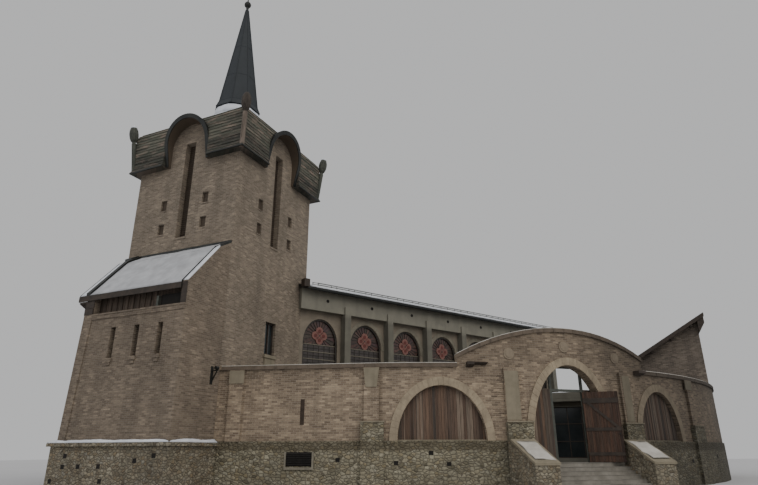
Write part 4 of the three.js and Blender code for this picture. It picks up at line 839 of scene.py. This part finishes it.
# The first spoke comes again at the end, to close the round
SPOKES = [(c, s, spoke_length(c, s)) for c, s in around(24) + [(1, 0)]]
for side, matrix, start, seed in (("front", NAVE, 0.15, 0.5), ("back", NAVE_BACK, -0.18, 9.5)):
    bars, panes, roses, hearts, lower, lights, surround, sills, ports = (Form(matrix) for _ in range(9))
    for bay in range(BAYS):
        x = BAY_FIRST + BAY_WIDTH * bay
        band_between(bars, window_outline(x, 0.004), window_outline(x, 0.085), 0.07, 0.17, True)
        if side == "back" or bay:
            inner, outer = ([window_point(x, angle, inset) for angle in spread(0, pi, 24)]
                            for inset in (-0.02, -0.28))
            band_between(surround, inner, outer, -0.03, 0.01)
        sills.box(x - 1.22, x + 1.22, -0.06, 0.28, 6.02, 6.098)
        # Spokes from the rose to the arch, with a pane between each two
        near = ROSE_R + 0.01
        for (c0, s0, far0), (c1, s1, far1) in zip(SPOKES, SPOKES[1:]):
            if min(far0, far1) > near:
                panes.plate([(x + c * r, ROSE_Z + s * r) for c, s, r in (
                    (c0, s0, near), (c0, s0, far0), (c1, s1, far1), (c1, s1, near))], 0.165, 0.176)
        for c, s, far in SPOKES:
            if far > ROSE_R:
                bars.bar(x + c * ROSE_R, ROSE_Z + s * ROSE_R, x + c * far, ROSE_Z + s * far, 0.135, 0.172, 0.028)
        # The lower lights: panes in rows, dark bars and three pale ones
        for row in range(6):
            for column in range(6):
                left, foot = x - LIGHTS_HALF + column * 0.364, LIGHTS_SILL + row * 0.21
                lower.box(left, left + 0.361, 0.165, 0.176, foot, foot + 0.207)
        for i in range(-2, 3):
            bars.box(x + i * 0.364 - 0.012, x + i * 0.364 + 0.012, 0.14, 0.172, LIGHTS_SILL, LIGHTS_TOP)
        for z in (6.39, 6.81, 7.23):
            bars.box(x - LIGHTS_HALF, x + LIGHTS_HALF, 0.132, 0.172, z - 0.01, z + 0.01)
        for z in (6.6, 7.02, 7.44):
            lights.box(x - LIGHTS_HALF, x + LIGHTS_HALF, 0.128, 0.172, z - 0.02, z + 0.02)
        # The rose: four lobes round a disc, each with a red heart, and a dark dot in the middle
        for i, (c, s) in enumerate(around(4)):
            roses.disc(x + 0.27 * c, ROSE_Z + 0.27 * s, 0.118, 0.174 - 0.001 * i, 0.245, 18)
            hearts.disc(x + 0.27 * c, ROSE_Z + 0.27 * s, 0.108, 0.13, 0.11, 14)
        roses.disc(x, ROSE_Z, 0.121, 0.17, 0.22, 18)
        bars.disc(x, ROSE_Z, 0.112, 0.13, 0.05, 10)
        # Ports in the fascia as dark discs of painted shade
        ports.disc(x + 0.2, 10, -0.392, -0.35, 0.1, 14)
    for name, form, kind, slot in (
            ("window_bars", bars, "lead", "timber"), ("window_panes", panes, "panes", "glass"),
            ("lower_panes", lower, "low_panes", "glass"), ("glazing_bars", lights, "surround", "timber"),
            ("rosettes", roses, "rose", "glass"), ("rosette_hearts", hearts, "red", "glass"),
            ("window_surrounds", surround, "surround", "concrete"), ("window_sills", sills, "surround", "concrete"),
            ("fascia_ports", ports, "hole", "concrete")):
        piece(f"nave_{name}_{side}", form, kind)

    gutter = Form(matrix)
    section = ((-0.9, 0.07), (-0.885, -0.03), (-0.83, -0.08), (-0.77, -0.05), (-0.745, -0.0005), (-0.765, -0.0008),
               (-0.785, -0.03), (-0.83, -0.055), (-0.868, -0.015), (-0.88, 0.07))
    gutter.rings([[(x, y, GUTTER_Z + z) for y, z in section] for x in (start, 23)])
    for i in range(34):
        x = 0.9 + i * 0.65
        gutter.box(x - 0.012, x + 0.012, -OVERHANG, -0.55, GUTTER_Z - 0.02, GUTTER_Z + 0.045)
    piece(f"nave_gutter_{side}", gutter, "metal")

    guards = Form(matrix)
    for distance in (0.22, 0.85):
        y, z = distance - OVERHANG, GUTTER_Z + ROOF_THICK + distance * SLOPE
        for rise in (0.13, 0.24):
            guards.box(0.75, 22.85, y - 0.014, y + 0.014, z + rise - 0.014, z + rise + 0.014)
        for i in range(17):
            x = 0.8 + i * 1.3
            guards.box(x - 0.016, x + 0.016, y - 0.013, y + 0.013, z - 0.02, z + 0.25)
    piece(f"nave_snow_guards_{side}", guards, "rail")
    lip = Form(matrix)
    rings = []
    for x in spread(start, FAR_END, 60):
        wave = 0.018 * noise.noise(Vector((x * 1.7, seed, 0)))
        rings.append([(x, y, GUTTER_Z + z) for y, z in (
            (-0.775 + wave, 0.13 + wave), (-0.7, 0.12), (-0.66, 0.25), (-0.73 + wave, 0.245 + wave),
            (-0.775 + wave, 0.2))])
    lip.rings(rings)
    piece(f"nave_eave_snow_{side}", lip, "snow", smooth=True)

snow_low, snow_high = EAVE_Z + ROOF_THICK + 0.022, RIDGE - 0.012
snow_sheet("nave_roof_snow", NAVE, [
    ((x, low, snow_low), (FAR_END, low, snow_low), (FAR_END, high, snow_high), (x, high, snow_high))
    for x, low, high in ((1, -0.7, 5.95), (-0.15, 12.7, 6.05))], 0.075, (90, 26), 0.006, 13)
cap = Form(NAVE)
cap.rings([[(x, 5.8, RIDGE - 0.045), (x, 6, RIDGE + 0.03), (x, 6.2, RIDGE - 0.045), (x, 6, RIDGE - 0.02)]
           for x in (-0.25, 23)])
piece("nave_ridge_cap", cap, "metal")
piece("nave_eave_stop", boxes(NAVE, (-0.34, 0.02, -0.95, -0.55, 10.52, 10.98)), "verge")

# ---- courtyard wall

RAISED_START, RAISED_END = 10.8, 20.75
RAISED_MIDDLE, RAISED_RADIUS, RAISED_TOP = 16, 11, 6.81


def raised_top(s):
    return RAISED_TOP - RAISED_RADIUS + sqrt(RAISED_RADIUS ** 2 - (s - RAISED_MIDDLE) ** 2)


coping, lines = Form(on_wall), Form(on_wall)
for start, end in ((0.1, RAISED_START), (RAISED_START, RAISED_END), (RAISED_END, 33.4)):
    for s0, s1 in lengths(start, end, 0.52, 0.006):
        z0, z1 = (raised_top(s0 + 0.001), raised_top(s1 - 0.001)) if start == RAISED_START else (WALL_TOP, WALL_TOP)
        out = 0.082 + 0.008 * dice.random()
        back = WALL_THICK + out
        coping.rings([[(s, -out, z - 0.03), (s, back, z - 0.03), (s, back, z + 0.146), (s, -out, z + 0.146)]
                      for s, z in ((s0, z0), (s1, z1))])
        lines.rings([[(s, -out - 0.004, z + 0.146), (s, back + 0.004, z + 0.146), (s, back - 0.03, z + 0.172),
                      (s, -out + 0.03, z + 0.172)] for s, z in ((s0 - 0.006, z0), (s1 + 0.006, z1))])
piece("wall_coping_stones", coping, "coping")
piece("wall_coping_snow", lines, "old_snow")

for name, count in (("left", 29), ("right", 25), ("entrance", 37)):
    start, end, foot, apex = ARCHES[name]
    middle, half = (start + end) / 2, (end - start) / 2
    blocks = Form(on_wall)
    for t0, t1 in lengths(0, pi, pi / count, 0.0015):
        out = 0.052 + 0.006 * dice.random()
        section = (0.004, -out), (0.004, 0.02), (0.35, 0.02), (0.35, -out)
        blocks.rings([[(middle - (half + width) * cos(t), depth, foot + (apex + width - foot) * sin(t))
                       for width, depth in section] for t in (t0, (t0 + t1) / 2, t1)])
    piece(f"{name}_arch_stones", blocks, "stone")

for name in ("left", "right"):
    start, end, foot, apex = ARCHES[name]
    boards = Form(on_wall)
    for ends in lengths(start, end, 0.137, 0.005):
        out = 0.18 - 0.012 - 0.016 * dice.random()
        tops = [(s, max(foot + 0.05, arch_line(ARCHES[name], s, -0.012))) for s in ends]
        boards.strip(tops, out, 0.179, foot + 0.004)
    piece(f"{name}_arch_boards", boards, "planks")

# Light caps and faces on the pilasters, slabs on the piers, and thin courses beside the entrance
caps, slabs, courses = Form(on_wall), Form(on_wall), Form(on_wall)
for s0, s1, z0, z1, out, narrow in (
        (0.54, 1.23, 4.46, 5.03, 0.165, 0), (6.68, 7.37, 4.22, 5.045, 0.165, 0.1),
        (24.36, 25.1, 4.55, 5.03, 0.165, 0), (12.86, 13.51, 2.84, 4.92, 0.142, 0),
        (19.09, 19.57, 2.84, 4.92, 0.142, 0)):
    caps.rings([[(s0 + k, -out, z), (s1 - k, -out, z), (s1 - k, -0.12, z), (s0 + k, -0.12, z)]
                for z, k in ((z0, narrow), (z1, 0))])
piece("pilaster_caps", caps, "cap")
for s0, s1 in ((6.54, 7.6), (12.8, 14.04), (18.84, 20.04), (24.41, 25.74)):
    slabs.strip([(s, 2.8) for s in spread(s0, s1, 4)], -0.262, -0.14, 2.742)
piece("pier_slabs", slabs, "cap")
for s0, s1, rows in ((12.28, 12.84, 11), (13.53, 13.78, 11), (18.45, 18.97, 11), (19.7, 19.76, 6)):
    for row in range(rows):
        z = 2.95 + row * 0.176
        courses.strip([(s, z + 0.05) for s in spread(s0, s1, 2)], -0.022, 0.01, z)
piece("wall_raised_courses", courses, "wall")
rounds = Form(on_wall)
for s, z in ((16, 6.1), (13.2, 5.7), (18.93, 5.74)):
    rounds.disc(s, z, -0.035, 0.01, 0.25, 22)
    rounds.disc(s, z, -0.05, -0.03, 0.17, 22)
piece("wall_round_stones", rounds, "round")
piece("wall_slit", boxes(on_wall, (3.87, 4.05, -0.006, 0.01, 2.67, 3.75)), "slit")
# Putlog holes as dark patches of painted shade
piece("wall_putlog_holes", boxes(on_wall, *[
    (s - 0.09, s + 0.09, -0.088, -0.07, z - 0.08, z + 0.08) for s, z in (
        (9.52, 1.52), (8.06, 1.13), (10.25, 1.09), (5.6, 1.25), (21.6, 1.3), (23.9, 1.1), (27.6, 1.3))]),
    "hole")
sill_line = Form(on_wall)
for start, end in ((8.14, 11.95), (20.09, 23.25)):
    sill_line.rings([[(s, 0.03, 2.003), (s, 0.17, 2.003), (s, 0.17, 2.05), (s, 0.03, 2.04)]
                     for s in spread(start, end, 8)])
piece("arch_sills", sill_line, "cap")

# The wall vent: a near-black backing of painted shade behind slats of the same colour
grille = boxes(on_wall, (3.32, 4.53, -0.1, -0.075, 1.00, 1.56))
for i in range(7):
    z = 1.05 + i * 0.07
    grille.raised([(3.36, -0.135, z), (4.49, -0.135, z), (4.49, -0.1, z + 0.03), (3.36, -0.1, z + 0.03)], 0.012)
piece("wall_vent_grille", grille, "hole")
piece("wall_vent_frame", boxes(on_wall, *[(a, b, -0.15, -0.08, c, d) for a, b, c, d in (
    (3.28, 3.36, 0.96, 1.58), (4.49, 4.57, 0.96, 1.58), (3.28, 4.57, 0.86, 0.96))]), "surround")
spouts = Form(on_wall)
for s0, s1, z, deep in ((11.2, 11.5, 5.17, 0.11), (11.5, 12.1, 5.2, 0.035), (20.1, 20.6, 5.1, 0.11)):
    spouts.rings([[(s, -0.34, z - deep + 0.1), (s, 0, z - deep), (s, 0, z + deep), (s, -0.34, z + deep)]
                  for s in (s0, s1)])
piece("wall_spouts", spouts, "verge")
bracket = boxes(TOWER, (3.5005, 3.52, -4.12, -3.96, 4.4, 5.2))
bracket.raised([(x, y, 4.98) for x, y in ((3.51, -4.08), (3.84, -4.05), (3.84, -4.01), (3.51, -3.98))], 0.05)
bracket.plate(((3.51, 4.55), (3.55, 4.52), (3.8, 4.96), (3.76, 4.98)), -4.05, -4.01)
bracket.disc(3.76, 5.11, -4.12, -3.95, 0.08, 12)
piece("lean_to_wall_bracket", bracket, "metal")

# ---- entrance

PANEL_FACE = 0.4535
THRESHOLD, STEP_RISE, STEP_GOING, LANDING = 1.1, 0.157, 0.3, 0.15
panels = Form(on_wall)
for start, end in ((14.12, 15.325), (17.175, 18.11)):
    for ends in lengths(start, end, 0.13, 0.004):
        out = PANEL_FACE - 0.008 - 0.008 * dice.random()
        panels.strip([(s, min(4.24, arch_line(ARCHES["entrance"], s, -0.02))) for s in ends], out, PANEL_FACE, 1.11)
piece("gate_side_boards", panels, "planks")

leaf = Form(HINGE)
for i in range(11):
    x = 0.018 + i * 0.138
    leaf.box(x + 0.003, x + 0.135, -0.088 - 0.008 * dice.random(), -0.0815, 1.124, 4.13)
piece("gate_leaf_boards", leaf, "leaf", "leaf")
ledges = boxes(HINGE, *[
    (0.03, 1.52, -0.118, -0.094, z - half, z + half) for z, half in ((1.46, 0.07), (2.5, 0.07), (3.74, 0.11))])
ledges.plate(((1.31, 2.57), (1.48, 2.57), (0.33, 3.63), (0.16, 3.63)), -0.117, -0.094)
piece("gate_leaf_ledges", ledges, "verge", "leaf")
straps = boxes(HINGE, *[(0.02, 1.25, -0.0215, -0.014, z - 0.035, z + 0.035) for z in (1.622, 3.622)])
straps.disc(1.42, 2.3, -0.14, -0.09, 0.03, 12)
piece("gate_leaf_straps", straps, "metal", "leaf")

for name, x0, x1 in (("left", -3.425, -2.265), ("right", 2.265, 3.425)):
    slab = Form(ENTRANCE)
    slab.raised([(x0, -1.99, 1.06), (x1, -1.99, 1.06), (x1, -0.3, 1.964), (x0, -0.3, 1.964)], 0.095)
    piece(f"cheek_cap_{name}", slab, "cap")
    snow_sheet(f"cheek_snow_{name}", ENTRANCE, [(
        (x0 + 0.06, -1.9, 1.208), (x1 - 0.06, -1.9, 1.208), (x1 - 0.06, -0.38, 2.021), (x0 + 0.06, -0.38, 2.021))],
        0.035, (12, 12), 0.3, 17, "old_snow")
treads = Form(ENTRANCE)
for i in range(7):
    z, edge = THRESHOLD - i * STEP_RISE, -LANDING - i * STEP_GOING
    back, half = (edge + STEP_GOING, 2.29) if i else (0.3, 1.955)
    treads.box(-half, half, edge - 0.02, back, z - 0.005, z + 0.006)
piece("step_nosings", treads, "steps")

# ---- wing

WING_Z = 9.72
WING_SLOPE = (WING_Z - 5.93) / 6.4
WING_EDGE = 0.43
HALL_SNOW_Z = 5.63

boards = Form(WING)
for y in (-0.485, 5.651):
    boards.raised([(x, at, WING_Z + x * WING_SLOPE - 0.06) for x, at in (
        (-6.38, y), (WING_EDGE, y), (WING_EDGE, y + 0.034), (-6.38, y + 0.034))], 0.28)
for x in (-5.6, -4.3, -3, -1.7, -0.4):
    z = WING_Z + x * WING_SLOPE
    boards.box(x - 0.06, x + 0.06, -0.44, -0.001, z - 0.16, z - 0.04)
boards.plate(((0.001, 8.87), (0.4, 9.52), (0.4, 9.94), (0.001, 9.71)), -0.44, 0.1)
piece("wing_verge_boards", boards, "verge")
snow_sheet("wing_roof_snow", WING, [[(x, y, WING_Z + x * WING_SLOPE + 0.209) for x, y in (
    (-6.36, -0.44), (0.44, -0.44), (0.44, 5.64), (-6.36, 5.64))]], 0.07, (36, 30), 0.01, 21)

# Low hall: door frames, a lintel and boards along the roof's edge
piece("hall_door_frames", boxes(
    WING, *[(x, x + 0.06, 2.66, 2.699, 1.101, 4.649) for x in (-10.35, -9.35, -8.35, -7.41)],
    *[(-10.35, -7.35, 2.655, 2.695, z, z + 0.06) for z in (1.101, 2.2, 3.42, 4.589)]), "verge")
piece("hall_lintel", boxes(WING, (-11.2, -6.42, 2.35, 2.3995, 4.7, 4.975)), "cap")
piece("hall_fascia_boards", boxes(WING, *[(-11.35, -6.42, 1.875, 1.8995, z, z + 0.19) for z in (5.01, 5.22, 5.43)]),
      "concrete")
snow_sheet("hall_roof_snow", WING, [[(x, y, HALL_SNOW_Z) for x, y in patch] for patch in (
    ((-11.55, 1.97), (-6.45, 1.97), (-6.45, 5.33), (-9, 5.33)),
    ((-9.9, 4.32), (-9.05, 5.33), (-11.9, 5.33), (-10.33, 4.49)))], 0.07, (24, 16), 0.01, 27)
